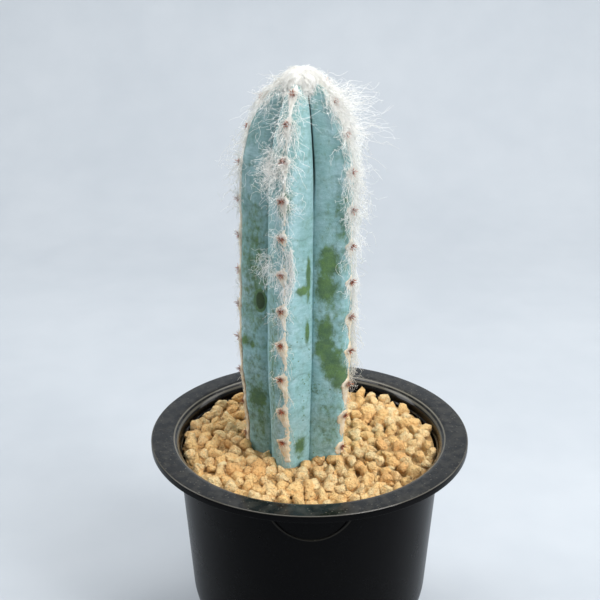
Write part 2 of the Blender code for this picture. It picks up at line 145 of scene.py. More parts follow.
def endTree(tree, geometry, source, sink):
    # every tree ends in plain faces with their material, so no instances are left
    values = {"Geometry": realizeAll(tree, geometry), "Material": source["Material"]}
    tree.links.new(addNode(tree, "GeometryNodeSetMaterial", values).outputs[0], sink["Geometry"])


def newTree(name, kind, inputs, outputs):
    tree = bpy.data.node_groups.new(name, kind)
    for title, socketType, value in inputs:
        socket = tree.interface.new_socket(name=title, in_out="INPUT", socket_type=socketType)
        if value is not None:
            socket.default_value = value
    for title, socketType in outputs:
        tree.interface.new_socket(name=title, in_out="OUTPUT", socket_type=socketType)
    source = tree.nodes.new("NodeGroupInput").outputs
    sink = tree.nodes.new("NodeGroupOutput").inputs
    return tree, source, sink


def srgb(red, green, blue):
    channels = []
    for value in (red, green, blue):
        value /= 255
        channels.append(value / 12.92 if value <= 0.04045 else ((value + 0.055) / 1.055) ** 2.4)
    return tuple(channels)


def ease(share):
    share = np.clip(share, 0.0, 1.0)
    return share * share * (3 - 2 * share)


def linkObject(name, data):
    made = bpy.data.objects.new(name, data)
    bpy.context.scene.collection.objects.link(made)
    return made


def keepMesh(name, bm):
    mesh = bpy.data.meshes.new(name)
    bm.to_mesh(mesh)
    bm.free()
    return mesh


def paintNode(name, material):
    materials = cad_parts[name].data.materials
    materials.clear()
    materials.append(material)


def finishPiece(piece, material, nodes):
    piece.data.materials.clear()
    piece.data.materials.append(material)
    piece.data.shade_smooth()
    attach(piece, "root")
    if nodes:
        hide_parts(*nodes)
    print(" ", piece.name, len(piece.data.polygons), "faces")
    return piece


def grow(name, tree, base, values):
    # runs a geometry tree on a base mesh and keeps the result as a plain mesh
    carrier = linkObject(name + "Base", base)
    modifier = carrier.modifiers.new("grow", "NODES")
    modifier.node_group = tree
    for item in tree.interface.items_tree:
        if item.in_out == "INPUT" and item.name in values:
            modifier[item.identifier] = values[item.name]
    graph = bpy.context.evaluated_depsgraph_get()
    mesh = bpy.data.meshes.new_from_object(
        carrier.evaluated_get(graph),
        preserve_all_data_layers=True,
        depsgraph=graph,
    )
    carrier.modifiers.remove(modifier)
    bpy.data.objects.remove(carrier)
    return linkObject(name, mesh)


def meshFromRings(name, rings, bottomPole=None, topPole=None):
    # rings run counter-clockwise and are stacked upwards, each an array of points
    points = [tuple(point) for ring in rings for point in ring]
    count = len(rings[0])
    faces = []
    for level in range(len(rings) - 1):
        low, high = level * count, (level + 1) * count
        for i in range(count):
            j = (i + 1) % count
            faces.append((low + i, low + j, high + j, high + i))
    last = (len(rings) - 1) * count
    if bottomPole is not None:
        points.append(tuple(bottomPole))
        faces += [((i + 1) % count, i, len(points) - 1) for i in range(count)]
    if topPole is not None:
        points.append(tuple(topPole))
        faces += [(last + i, last + (i + 1) % count, len(points) - 1) for i in range(count)]
    mesh = bpy.data.meshes.new(name)
    mesh.from_pydata(points, [], faces)
    mesh.update()
    return mesh


def setAttribute(mesh, name, values, kind="FLOAT"):
    layer = mesh.attributes.new(name, kind, "POINT")
    field = "vector" if kind == "FLOAT_VECTOR" else "value"
    layer.data.foreach_set(field, np.asarray(values, np.float32).ravel())


# shader groups that several materials share

def makeMottleGroup():
    # two sizes of noise as one mask that changes over the surface
    tree, source, sink = newTree(
        "Mottle",
        "ShaderNodeTree",
        [
            ("Vector", "NodeSocketVector", None),
            ("Scale", "NodeSocketFloat", 100.0),
            ("Low", "NodeSocketFloat", 0.35),
            ("High", "NodeSocketFloat", 0.65),
        ],
        [("Mask", "NodeSocketFloat")],
    )
    coarse = addNoise(tree, source["Vector"], source["Scale"], 5.0)
    finer = times(tree, source["Scale"], 5.3)
    fine = addNoise(tree, source["Vector"], finer, 3.0)
    part = times(tree, fine, 0.35)
    whole = addMath(tree, "MULTIPLY_ADD", coarse, 0.65, part)
    tree.links.new(smoothRange(tree, whole, source["Low"], source["High"]), sink["Mask"])
    return tree


def makeDustGroup():
    # dust that settles where a surface looks up, broken up by noise
    tree, source, sink = newTree(
        "Settled dust",
        "ShaderNodeTree",
        [
            ("Vector", "NodeSocketVector", None),
            ("Amount", "NodeSocketFloat", 0.5),
            ("Scale", "NodeSocketFloat", 160.0),
        ],
        [("Mask", "NodeSocketFloat")],
    )
    upward = splitXyz(tree, surfaceNormal(tree))["Z"]
    facing = smoothRange(tree, upward, 0.15, 0.95)
    patches = addNoise(tree, source["Vector"], source["Scale"], 6.0)
    cloud = smoothRange(tree, patches, 0.38, 0.68, 0.12, 1.0)
    mask = times(tree, times(tree, facing, cloud), source["Amount"])
    tree.links.new(mask, sink["Mask"])
    return tree


mottle = makeMottleGroup()
settledDust = makeDustGroup()


def newMaterial(name, roughness):
    material = bpy.data.materials.new(name)
    material.use_nodes = True
    tree = material.node_tree
    shader = tree.nodes["Principled BSDF"]
    shader.inputs["Roughness"].default_value = roughness
    place = addNode(tree, "ShaderNodeTexCoord").outputs["Object"]
    return material, tree, shader, place


def addMottle(tree, place, scale, low=0.35, high=0.65):
    made = addNode(tree, "ShaderNodeGroup", node_tree=mottle)
    tree.links.new(place, made.inputs["Vector"])
    made.inputs["Scale"].default_value = scale
    made.inputs["Low"].default_value = low
    made.inputs["High"].default_value = high
    return made.outputs["Mask"]


def addBump(tree, shader, height, distance, strength=1.0):
    bump = addNode(tree, "ShaderNodeBump", {"Height": height, "Distance": distance, "Strength": strength})
    tree.links.new(bump.outputs[0], shader.inputs["Normal"])


def readAttribute(tree, name):
    return addNode(tree, "ShaderNodeAttribute", attribute_name=name).outputs["Fac"]


# the pot

pot = {
    "steps": 160,
    "height": potTop,
    "rimRadius": 0.075,
    "rimThickness": 0.0016,
    "lipDrop": 0.0034,
    "lipThickness": 0.0016,
    "edgeRound": 0.0006,
    "topRadius": 0.0628,
    "kneeRadius": 0.0570,
    "kneeHeight": 0.040,
    "footRadius": 0.0480,
    "wall": 0.0016,
    "shoulder": 0.0052,
    "stepDepth": 0.0058,
    "step": 0.0006,
    "floorHeight": 0.0030,
    "floorThickness": 0.0020,
    "footRing": 0.0045,
    "drainHoles": 6,
    "drainRadius": 0.0040,
    "drainMiddle": 0.0060,
    "drainCircle": 0.0270,
    "recessArc": 0.0207,
    "recessBottom": 0.0210,
    "recessDepth": 0.0005,
    "recessX": 0.0005,
    "recessFlare": 0.0036,  # how much the cutter widens each way over its length
    "recessReach": 0.012,
    "drillLength": 0.008,
    "recessClear": 0.004,
    "shoulderHighlights": ((0.0626, 0.70), (0.0642, 1.0)),
    "colour": srgb(6, 6, 7),
    # pale colour of the dust and grit, also used for the painted highlights
    "dustAndHighlightColour": srgb(106, 102, 92),
    "dust": 0.14,
    "dustScale": 210.0,
    "smudge": 0.003,
    "rimGloss": 0.60,
    "edgeHighlight": 0.60,
    "grit": 0.55,
    "recessHighlight": 0.16,
}


def potRadius(height):
    # outside of the wall
    if height < pot["kneeHeight"]:
        share = height / pot["kneeHeight"]
        return pot["footRadius"] + (pot["kneeRadius"] - pot["footRadius"]) * share
    share = (height - pot["kneeHeight"]) / (pot["height"] - pot["kneeHeight"])
    return pot["kneeRadius"] + (pot["topRadius"] - pot["kneeRadius"]) * share


def arcPoints(radius, height, size, start, end, steps):
    turns = np.linspace(start, end, steps + 1)
    return [(radius + size * math.cos(turn), height + size * math.sin(turn)) for turn in turns]


def potProfile():
    # from the inside of the floor, up the inner wall, over the rim and down to the foot
    top = pot["height"]
    floorTop = pot["floorHeight"] + pot["floorThickness"]
    stepHeight = top - pot["stepDepth"]
    wall = pot["wall"]
    mouth = potRadius(stepHeight) - wall + pot["step"]
    edge = pot["edgeRound"]
    quarter = math.pi / 2
    bend = (mouth + pot["shoulder"], top - pot["shoulder"])
    lip = pot["rimRadius"] - pot["lipThickness"]
    lipLow = top - pot["lipDrop"]
    small = edge * 0.6
    points = [(0.0, floorTop)]
    points += arcPoints(potRadius(floorTop) - wall - 0.0015, floorTop + 0.0015, 0.0015, -quarter, 0.0, 4)
    points += [(potRadius(z) - wall, z) for z in np.linspace(0.010, pot["kneeHeight"], 7)]
    points += [(potRadius(z) - wall, z) for z in np.linspace(0.048, stepHeight - 0.0008, 9)]
    points += [(mouth - 0.0001, stepHeight - 0.0003), (mouth, stepHeight + 0.0002)]
    points += arcPoints(*bend, pot["shoulder"], math.pi, quarter, 12)
    points += [(pot["rimRadius"] - edge - 0.004, top)]
    points += arcPoints(pot["rimRadius"] - edge, top - edge, edge, quarter, 0.0, 6)
    points += arcPoints(pot["rimRadius"] - small, lipLow + small, small, 0.0, -quarter, 4)
    points += arcPoints(lip + small, lipLow + small, small, -quarter, -math.pi, 3)
    points += [(lip, top - pot["rimThickness"])]
    points += arcPoints(*bend, pot["shoulder"] - pot["rimThickness"], quarter, math.pi, 8)
    points += [(potRadius(z), z) for z in np.linspace(stepHeight - 0.0012, pot["kneeHeight"] + 0.002, 22)]
    points += [(potRadius(pot["kneeHeight"]) - 0.00008, pot["kneeHeight"])]
    points += [(potRadius(z), z) for z in np.linspace(pot["kneeHeight"] - 0.002, 0.0012, 10)]
    points += arcPoints(pot["footRadius"] - 0.0007, 0.0008, 0.0008, -0.1, -quarter, 4)
    ring = pot["footRadius"] - pot["footRing"]
    points += [
        (ring, 0.0),
        (ring - 0.0005, 0.0005),
        (ring - 0.0006, pot["floorHeight"]),
        (0.0, pot["floorHeight"]),
    ]
    return points


def lathe(name, profile, steps):
    turns = np.linspace(0, math.tau, steps, endpoint=False)
    bm = bmesh.new()
    rows = []
    for radius, height in profile:
        if radius == 0:
            rows.append([bm.verts.new((0, 0, height))] * steps)
        else:
            rows.append([bm.verts.new((radius * math.cos(t), radius * math.sin(t), height)) for t in turns])
    for first, second in zip(rows, rows[1:]):
        for i in range(steps):
            j = (i + 1) % steps
            corners = dict.fromkeys((first[i], second[i], second[j], first[j]))
            bm.faces.new(list(corners))
    bmesh.ops.recalc_face_normals(bm, faces=bm.faces)
    return keepMesh(name, bm)


def cutterCone(name, lowRadius, highRadius, depth, place, segments=40):
    bm = bmesh.new()
    sizes = {"radius1": lowRadius, "radius2": highRadius, "depth": depth}
    bmesh.ops.create_cone(bm, cap_ends=True, segments=segments, **sizes)
    bmesh.ops.transform(bm, matrix=place, verts=bm.verts)
    return linkObject(name, keepMesh(name, bm))


def applyBooleans(target, cutters):
    for cutter, operation in cutters:
        boolean = target.modifiers.new("cut", "BOOLEAN")
        boolean.operation = operation
        boolean.solver = "EXACT"
        boolean.object = cutter
    graph = bpy.context.evaluated_depsgraph_get()
    mesh = bpy.data.meshes.new_from_object(target.evaluated_get(graph), depsgraph=graph)
    target.modifiers.clear()
    target.data = mesh
    for cutter, _ in cutters:
        bpy.data.objects.remove(cutter)


def makePot(material):
    piece = linkObject("potShell", lathe("potShell", potProfile(), pot["steps"]))
    middle = pot["floorHeight"] + pot["floorThickness"] / 2
    places = [(0.0, 0.0, pot["drainMiddle"])]
    for i in range(pot["drainHoles"]):
        turn = math.tau * (i + 0.5) / pot["drainHoles"]
        places.append(
            (pot["drainCircle"] * math.cos(turn), pot["drainCircle"] * math.sin(turn), pot["drainRadius"])
        )
    drills = []
    for x, y, radius in places:
        place = Matrix.Translation((x, y, middle))
        drills.append((cutterCone("drill", radius, radius, pot["drillLength"], place), "DIFFERENCE"))
    # the half-moon recess: a skin of the wall inside an upright disc
    clear = pot["recessClear"]
    top = pot["height"] - pot["stepDepth"] - pot["step"]
    low = pot["height"] - pot["recessBottom"] - clear
    depth = pot["recessDepth"]
    skinProfile = [
        (potRadius(low) - depth, low),
        (potRadius(low) + clear, low),
        (potRadius(top) + clear, top),
        (potRadius(top) - depth, top),
        (potRadius(low) - depth, low),
    ]
    skin = linkObject("recessSkin", lathe("recessSkin", skinProfile, pot["steps"]))
    weld = skin.modifiers.new("weld", "WELD")
    weld.merge_threshold = 0.000001
    wallY = -potRadius(pot["height"] - pot["recessBottom"])
    centre = Vector((pot["recessX"], wallY, pot["height"] - pot["recessBottom"] + pot["recessArc"]))
    place = Matrix.Translation(centre) @ Matrix.Rotation(math.pi / 2, 4, "X")
    flare = pot["recessFlare"]
    arc = pot["recessArc"]
    disc = cutterCone("recessDisc", arc - flare, arc + flare, pot["recessReach"], place, 96)
    applyBooleans(skin, [(disc, "INTERSECT")])
    applyBooleans(piece, drills + [(skin, "DIFFERENCE")])
    piece.data.name = "potShell"
    finishPiece(piece, material, ["pot"])
    piece.data.set_sharp_from_angle(angle=math.radians(32))
    return piece


def makePotMaterial():
    material, tree, shader, place = newMaterial("Black pot plastic", 0.3)
    dust = addNode(tree, "ShaderNodeGroup", node_tree=settledDust)
    tree.links.new(place, dust.inputs["Vector"])
    dust.inputs["Amount"].default_value = pot["dust"]
    dust.inputs["Scale"].default_value = pot["dustScale"]
    shader.inputs["Specular IOR Level"].default_value = 0.05
    shader.inputs["Coat Roughness"].default_value = 0.10
    smudge = addMottle(tree, place, 38.0, 0.38, 0.72)
    film = times(tree, smudge, pot["smudge"])
    cover = addMath(tree, "MAXIMUM", dust.outputs["Mask"], film)
    # the rim is the shiniest part; a pale line on its outer edge is a painted highlight, and so is a pale
    # line along the recess's curved edge
    upward = splitXyz(tree, surfaceNormal(tree))["Z"]
    gloss = smoothRange(tree, upward, 0.05, 0.7, 0.0, pot["rimGloss"])
    tree.links.new(gloss, shader.inputs["Coat Weight"])
    parts = splitXyz(tree, place)
    reach = addVectorMath(tree, "LENGTH", combineXyz(tree, parts["X"], parts["Y"]))
    rim = pot["rimRadius"]
    level = smoothRange(tree, upward, 0.3, 0.9)
    # painted highlight: a pale line on the rim's rounded outer edge, where it faces up
    worn = times(tree, smoothRange(tree, reach, rim - 0.0008, rim - 0.0002, 0.0, pot["edgeHighlight"]), level)
    specks = addNode(tree, "ShaderNodeTexVoronoi", {"Vector": place, "Scale": 520.0})
    grit = times(tree, smoothRange(tree, specks.outputs["Distance"], 0.10, 0.22, pot["grit"], 0.0), level)
    # painted highlight: a thin pale line along the recess's curved edge, on the front wall below the rim
    arcMiddle = (pot["recessX"], 0.0, pot["height"] - pot["recessBottom"] + pot["recessArc"])
    fromArc = addVectorMath(tree, "SUBTRACT", place, arcMiddle)
    arcReach = addVectorMath(tree, "LENGTH", addVectorMath(tree, "MULTIPLY", fromArc, (1.0, 0.0, 1.0)))
    offArc = addMath(tree, "ABSOLUTE", addMath(tree, "SUBTRACT", arcReach, pot["recessArc"]))
    front = smoothRange(tree, parts["Y"], -0.056, -0.052, 1.0, 0.0)
    below = smoothRange(tree, parts["Z"], pot["height"] - 0.0006, pot["height"] - 0.0002, 1.0, 0.0)
    wallOnly = smoothRange(tree, parts["Z"], pot["height"] - 0.0052, pot["height"] - 0.0048, 1.0, 0.0)
    line = smoothRange(tree, offArc, 0.0001, 0.0006, pot["recessHighlight"], 0.0)
    line = times(tree, line, times(tree, front, wallOnly))
    # two thin pale rings on the shoulder inside the rim, painted highlights
    ringHighlights = []
    for radius, strength in pot["shoulderHighlights"]:
        offRing = addMath(tree, "ABSOLUTE", addMath(tree, "SUBTRACT", reach, radius))
        ringHighlights.append(smoothRange(tree, offRing, 0.0002, 0.0005, strength, 0.0))
    rings = addMath(tree, "MAXIMUM", *ringHighlights)
    inside = smoothRange(tree, upward, 0.02, 0.10)
    rings = times(tree, rings, times(tree, inside, below))
    for mask in (line, worn, grit, rings):
        cover = addMath(tree, "MAXIMUM", cover, mask)
    # dust, grit and the painted highlights all turn the black towards the pale colour
    colour = mixColours(tree, cover, pot["colour"], pot["dustAndHighlightColour"])
    tree.links.new(colour, shader.inputs["Base Color"])
    rough = smoothRange(tree, addMath(tree, "ADD", cover, times(tree, smudge, 0.10)), 0.0, 0.6, 0.26, 0.62)
    tree.links.new(rough, shader.inputs["Roughness"])
    grain = addNoise(tree, place, 900.0, 3.0)
    wave = addNoise(tree, place, 26.0, 1.0)
    height = addMath(tree, "MULTIPLY_ADD", wave, 8.0, grain)
    addBump(tree, shader, height, 0.00005, 0.7)
    return material


# the stem

stem = {
    "ribs": 5,
    "frontTurn": math.radians(-108.0),
    "axisX": -0.0050,
    "lean": 0.0015,
    "gravelLevel": potTop - 0.0062,
    "baseRadius": 0.0236,
    "bellyRadius": 0.0268,
    "bellyHeight": 0.055,
    "shoulderRadius": 0.0262,
    "shoulderHeight": 0.130,
    "buried": 0.034,
    "stumpRadius": 0.0120,
    "crestRounding": 0.24,
    "valley": 0.66,
    "valleyTop": 0.56,
    "slit": 0.01,
    "slitTop": 0.30,
    "slitShare": 0.945,  # place across the rib where the valley's slit starts
    "slitRise": (0.120, 0.020),  # height at which it opens, and over how much height
    "cleftShadeRise": (0.125, 0.018),  # the same for its painted shade
    "cleftShadeBelow": 0.10,
    "columns": 52,
    "rowStep": 0.00075,
    "crestShare": 0.40,
    "crestTurn": 1.14,  # radians from the crest's middle to where the flank starts
    "bulge": 0.030,
    "bulgePeak": 0.186,  # the highest value of the curve that the bulge follows
    "areolePitch": 0.0165,
    "areolePhases": (0.0130, 0.0060, 0.0140, 0.0100, 0.0060),
    "feltStart": 0.0035,
    "flankArc": 0.0165,  # length of skin from a crest to a valley
    "areoleSwell": 0.00045,
    "areoleSwellHeight": 0.0045,
    "areoleSwellSide": 0.3,
    "foldShare": 0.72,  # share of areoles with a fold beside them
    "foldDepth": 0.00022,
    "foldHeight": 0.00055,
    "lumpHeight": 0.00035,
    "lumpScale": 70.0,
    # where the bloom is rubbed off: rib, place across the rib, height, half-width, half-height, strength,
    # which at 5 also leaves a dark scar
    "rubbed": (
        (1, -0.60, 0.0985, 0.0050, 0.0084, 1.0),
        (1, -0.64, 0.0865, 0.0052, 0.0076, 1.0),
        (1, -0.66, 0.0665, 0.0044, 0.0076, 1.0),
        (1, -0.66, 0.0580, 0.0044, 0.0070, 1.0),
        (1, -0.46, 0.0505, 0.0050, 0.0088, 1.0),
        (1, -0.20, 0.0430, 0.0042, 0.0072, 1.0),
        (1, -0.55, 0.0760, 0.0070, 0.0420, 0.30),
        (1, -0.20, 0.1180, 0.0060, 0.0200, 0.30),
        (0, 0.78, 0.0925, 0.0014, 0.0110, 1.0),
        (0, 0.60, 0.0872, 0.0038, 0.0024, 1.0),
        (0, 0.76, 0.0665, 0.0013, 0.0062, 1.0),
        (0, 0.57, 0.0095, 0.0036, 0.0048, 0.9),
        (0, -0.35, 0.0500, 0.0050, 0.0520, 0.42),
        (0, 0.10, 0.1270, 0.0030, 0.0100, 0.50),
        (4, 0.78, 0.0775, 0.0025, 0.0046, 5.0),
        (4, 0.60, 0.0280, 0.0056, 0.0080, 0.85),
        (4, 0.30, 0.0560, 0.0030, 0.0034, 0.8),
        (4, 0.53, 0.0550, 0.0013, 0.0020, 1.1),
        (4, 0.60, 0.0880, 0.0090, 0.0420, 0.46),
        (4, 0.60, 0.0250, 0.0090, 0.0300, 0.44),
        (1, -0.45, 0.0180, 0.0100, 0.0200, 0.28),
        (2, 0.50, 0.0700, 0.0050, 0.0100, 1.0),
        (2, 0.40, 0.0500, 0.0080, 0.0400, 0.30),
        (3, -0.45, 0.1050, 0.0052, 0.0080, 0.9),
        (3, 0.30, 0.0400, 0.0050, 0.0090, 1.0),
        (3, -0.50, 0.0500, 0.0080, 0.0400, 0.30),
        (2, -0.55, 0.1200, 0.0040, 0.0060, 0.8),
    ),
    "bloomLight": srgb(175, 205, 212),
    "bloomBlue": srgb(132, 170, 170),
    "bloomDull": srgb(152, 196, 199),
    "green": srgb(90, 122, 48),
    "darkGreen": srgb(54, 84, 40),
    "bloomShade": srgb(96, 136, 130),
    "scar": srgb(34, 52, 20),
    "cleftPaintedShade": srgb(30, 40, 30),
}
stem["height"] = stemTop - stem["gravelLevel"]
stem["tipX"] = stem["axisX"] + stem["lean"]


def crestRadius(height):
    height = np.asarray(height, float)
    top = stem["height"]
    rise = np.clip((height - stem["shoulderHeight"]) / (top - stem["shoulderHeight"]), 0, 1)
    dome = stem["shoulderRadius"] * np.sqrt(1 - rise * rise)
    mid = ease((height - stem["bellyHeight"]) / (stem["shoulderHeight"] - stem["bellyHeight"]))
    upper = stem["bellyRadius"] + (stem["shoulderRadius"] - stem["bellyRadius"]) * mid
    swelling = stem["bellyRadius"] - stem["baseRadius"]
    lower = stem["baseRadius"] + swelling * ease(height / stem["bellyHeight"])
    stump = stem["baseRadius"] + (stem["stumpRadius"] - stem["baseRadius"]) * ease(-height / stem["buried"])
    body = np.where(height >= stem["bellyHeight"], upper, np.where(height >= 0, lower, stump))
    return np.where(height >= stem["shoulderHeight"], dome, body)


def valleyShare(height):
    height = np.asarray(height, float)
    top = ease((height - stem["shoulderHeight"]) / (stem["height"] - stem["shoulderHeight"]))
    above = stem["valley"] + (stem["valleyTop"] - stem["valley"]) * top
    below = stem["valley"] + (0.80 - stem["valley"]) * ease(-height / stem["buried"])
    return np.where(height < 0, below, above)


def ribPoint(rib, side, height, lift=0.0):
    # side runs from -1 in the valley on the left to 0 on the crest and 1 in the valley on the right
    side, height, lift = np.broadcast_arrays(*(np.asarray(v, float) for v in (side, height, lift)))
    crest = crestRadius(height)
    valley = crest * valleyShare(height)
    rounding = crest * stem["crestRounding"]
    half = math.pi / stem["ribs"]
    centre = crest - rounding
    valleyX, valleyY = valley * math.cos(half), valley * math.sin(half)
    reach = np.hypot(valleyX - centre, valleyY)
    tangent = np.arctan2(valleyY, valleyX - centre) - np.arccos(
        np.clip(rounding / np.maximum(reach, 1e-9), -1, 1)
    )
    away = np.abs(side)
    split = stem["crestShare"]
    turn = tangent * np.minimum(away / split, 1)
    arcX, arcY = centre + rounding * np.cos(turn), rounding * np.sin(turn)
    share = np.clip((away - split) / (1 - split), 0, 1)
    endX, endY = centre + rounding * np.cos(tangent), rounding * np.sin(tangent)
    runX, runY = valleyX - endX, valleyY - endY
    length = np.maximum(np.hypot(runX, runY), 1e-9)
    plump = stem["bulge"] * crest * (share**1.5 * (1 - share)) / stem["bulgePeak"]
    flankX = endX + runX * share + plump * runY / length
    flankY = endY + runY * share - plump * runX / length
    start, span = stem["slitRise"]
    opened = ease((height - start) / span) * ease((stem["height"] - 0.001 - height) / 0.006)
    slitDepth = stem["slit"] + (stem["slitTop"] - stem["slit"]) * opened
    slit = 1 - slitDepth * ease((share - stem["slitShare"]) / 0.055)
    flankX, flankY = flankX * slit, flankY * slit
    onCrest = away <= split
    hand = np.sign(np.where(side == 0, 1, side))
    x = np.where(onCrest, arcX, flankX)
    y = np.where(onCrest, arcY, flankY) * hand
    # lift goes straight out of the skin
    x = x + np.where(onCrest, np.cos(turn), runY / length) * lift
    y = y + np.where(onCrest, np.sin(turn), -runX / length) * hand * lift
    spin = stem["frontTurn"] + math.tau * rib / stem["ribs"]
    lean = stem["lean"] * np.maximum(0, height) / stem["height"]
    pointX = stem["axisX"] + lean + x * np.cos(spin) - y * np.sin(spin)
    pointY = x * np.sin(spin) + y * np.cos(spin)
    return np.stack([pointX, pointY, stem["gravelLevel"] + height], -1)


def ribFrame(rib, side, height):
    # a point on the skin and the directions out of it, up it and across it
    step = 0.0004
    point = ribPoint(rib, side, height)
    up = ribPoint(rib, side, height + step) - ribPoint(rib, side, height - step)
    across = ribPoint(rib, side + 0.02, height) - ribPoint(rib, side - 0.02, height)
    up /= np.linalg.norm(up) + 1e-12
    across /= np.linalg.norm(across) + 1e-12
    out = np.cross(across, up)
    out /= np.linalg.norm(out) + 1e-12
    return point, out, up, across


def areoleHeights(rib):
    heights = []
    height, travelled = stem["feltStart"], 0.0
    spacing = stem["areolePhases"][rib] - stem["feltStart"]
    step = 0.0002
    span = stem["height"] - stem["shoulderHeight"]
    while height < stem["height"] - 0.0035:
        change = float(crestRadius(height + step) - crestRadius(height))
        travelled += math.hypot(step, change)
        height += step
        if travelled >= spacing:
            heights.append(height)
            travelled = 0.0
            crowding = 0.28 * float(ease((height - stem["shoulderHeight"]) / span))
            spacing = stem["areolePitch"] * (1 - crowding)
    return heights


def stemRows():
    # heights spaced evenly along the crest's own line
    heights = [-stem["buried"]]
    while heights[-1] < stem["height"] - 0.0006:
        here = heights[-1]
        slope = float(crestRadius(here + 0.0001) - crestRadius(here)) / 0.0001
        step = stem["rowStep"] * (2.5 if here < -0.004 else 1.0) / math.hypot(1, slope)
        heights.append(here + max(step, 0.00006))
    heights[-1] = stem["height"] - 0.0003
    return np.array(heights)


def foldLines():
    # short creases beside the areoles: rib, hand, height, strength, slant
    creaseRng = np.random.default_rng(7)
    folds = []
    for rib in range(stem["ribs"]):
        for level in areoleHeightList[rib]:
            for hand in (-1, 1):
                if creaseRng.random() < stem["foldShare"]:
                    strength, slant = creaseRng.uniform(0.4, 1.0), creaseRng.uniform(-0.002, 0.003)
                    folds.append((rib, hand, level - 0.001, strength, slant))
    return folds


def foldAt(folds, rib, sides, height):
    total = np.zeros_like(sides)
    for where, hand, level, strength, slant in folds:
        if where == rib and abs(height - level) < 0.006:
            line = level + slant * np.abs(sides) + 0.0006 * np.sin(sides * 9 + level * 900)
            reach = ease((np.abs(sides) - 0.15) / 0.2) * ease((1.02 - np.abs(sides)) / 0.35)
            edge = np.exp(-(((height - line) / stem["foldHeight"]) ** 2))
            total += strength * reach * (np.sign(sides) == hand) * edge
    return total


def wornAt(rib, sides, height):
    worn = np.zeros_like(sides)
    for where, across, level, width, tall, strength in stem["rubbed"]:
        if where == rib:
            arc = (sides - across) * stem["flankArc"]
            gap = np.sqrt((arc / width) ** 2 + ((height - level) / tall) ** 2)
            worn = np.maximum(worn, strength * (1.35 - gap))
    return worn


def makeStem(material):
    sides = np.sin(np.linspace(-1, 1, stem["columns"], endpoint=False) * math.pi / 2)
    rows = []
    masks = {"crease": [], "rubbed": [], "crest": [], "cleftPaintedShade": []}
    folds = foldLines()
    start, span = stem["cleftShadeRise"]
    for height in stemRows():
        ring = []
        for rib in range(stem["ribs"]):
            points = ribPoint(rib, sides, np.full_like(sides, height))
            fold = foldAt(folds, rib, sides, height)
            areoleNear = min(abs(height - level) for level in areoleHeightList[rib])
            swell = stem["areoleSwell"] * math.exp(-((areoleNear / stem["areoleSwellHeight"]) ** 2))
            push = swell * np.exp(-((sides / stem["areoleSwellSide"]) ** 2)) - stem["foldDepth"] * fold
            axis = np.array([stem["axisX"], 0.0, points[0][2]])
            outward = points - axis
            outward[:, 2] = 0
            outward /= np.linalg.norm(outward, axis=1, keepdims=True) + 1e-9
            lumps = np.array([noise.noise(Vector(point) * stem["lumpScale"]) for point in points])
            push = push + stem["lumpHeight"] * lumps * min(1.0, float(crestRadius(height)) / 0.012)
            ring.append(points + outward * push[:, None])
            masks["crease"].append(fold)
            masks["rubbed"].append(wornAt(rib, sides, height))
            masks["crest"].append(1 - np.abs(sides))
            # painted shade in the valley's slit, full where the slit opens and faint below it
            deep = ease((height - start) / span) * ease((stem["height"] - 0.001 - height) / 0.004)
            deep = stem["cleftShadeBelow"] + (1 - stem["cleftShadeBelow"]) * float(deep)
            masks["cleftPaintedShade"].append(ease((np.abs(sides) - stem["slitShare"]) / 0.035) * deep)
        rows.append(np.concatenate(ring))
    bottom = (stem["axisX"], 0, stem["gravelLevel"] - stem["buried"] - 0.0035)
    top = (stem["tipX"], 0, stemTop - 0.0001)
    mesh = meshFromRings("stemBody", rows, bottom, top)
    for mask, parts in masks.items():
        setAttribute(mesh, mask, np.append(np.concatenate(parts), [0, 0]))
    piece = linkObject("stemBody", mesh)
    return finishPiece(piece, material, ["cactus_stem"])


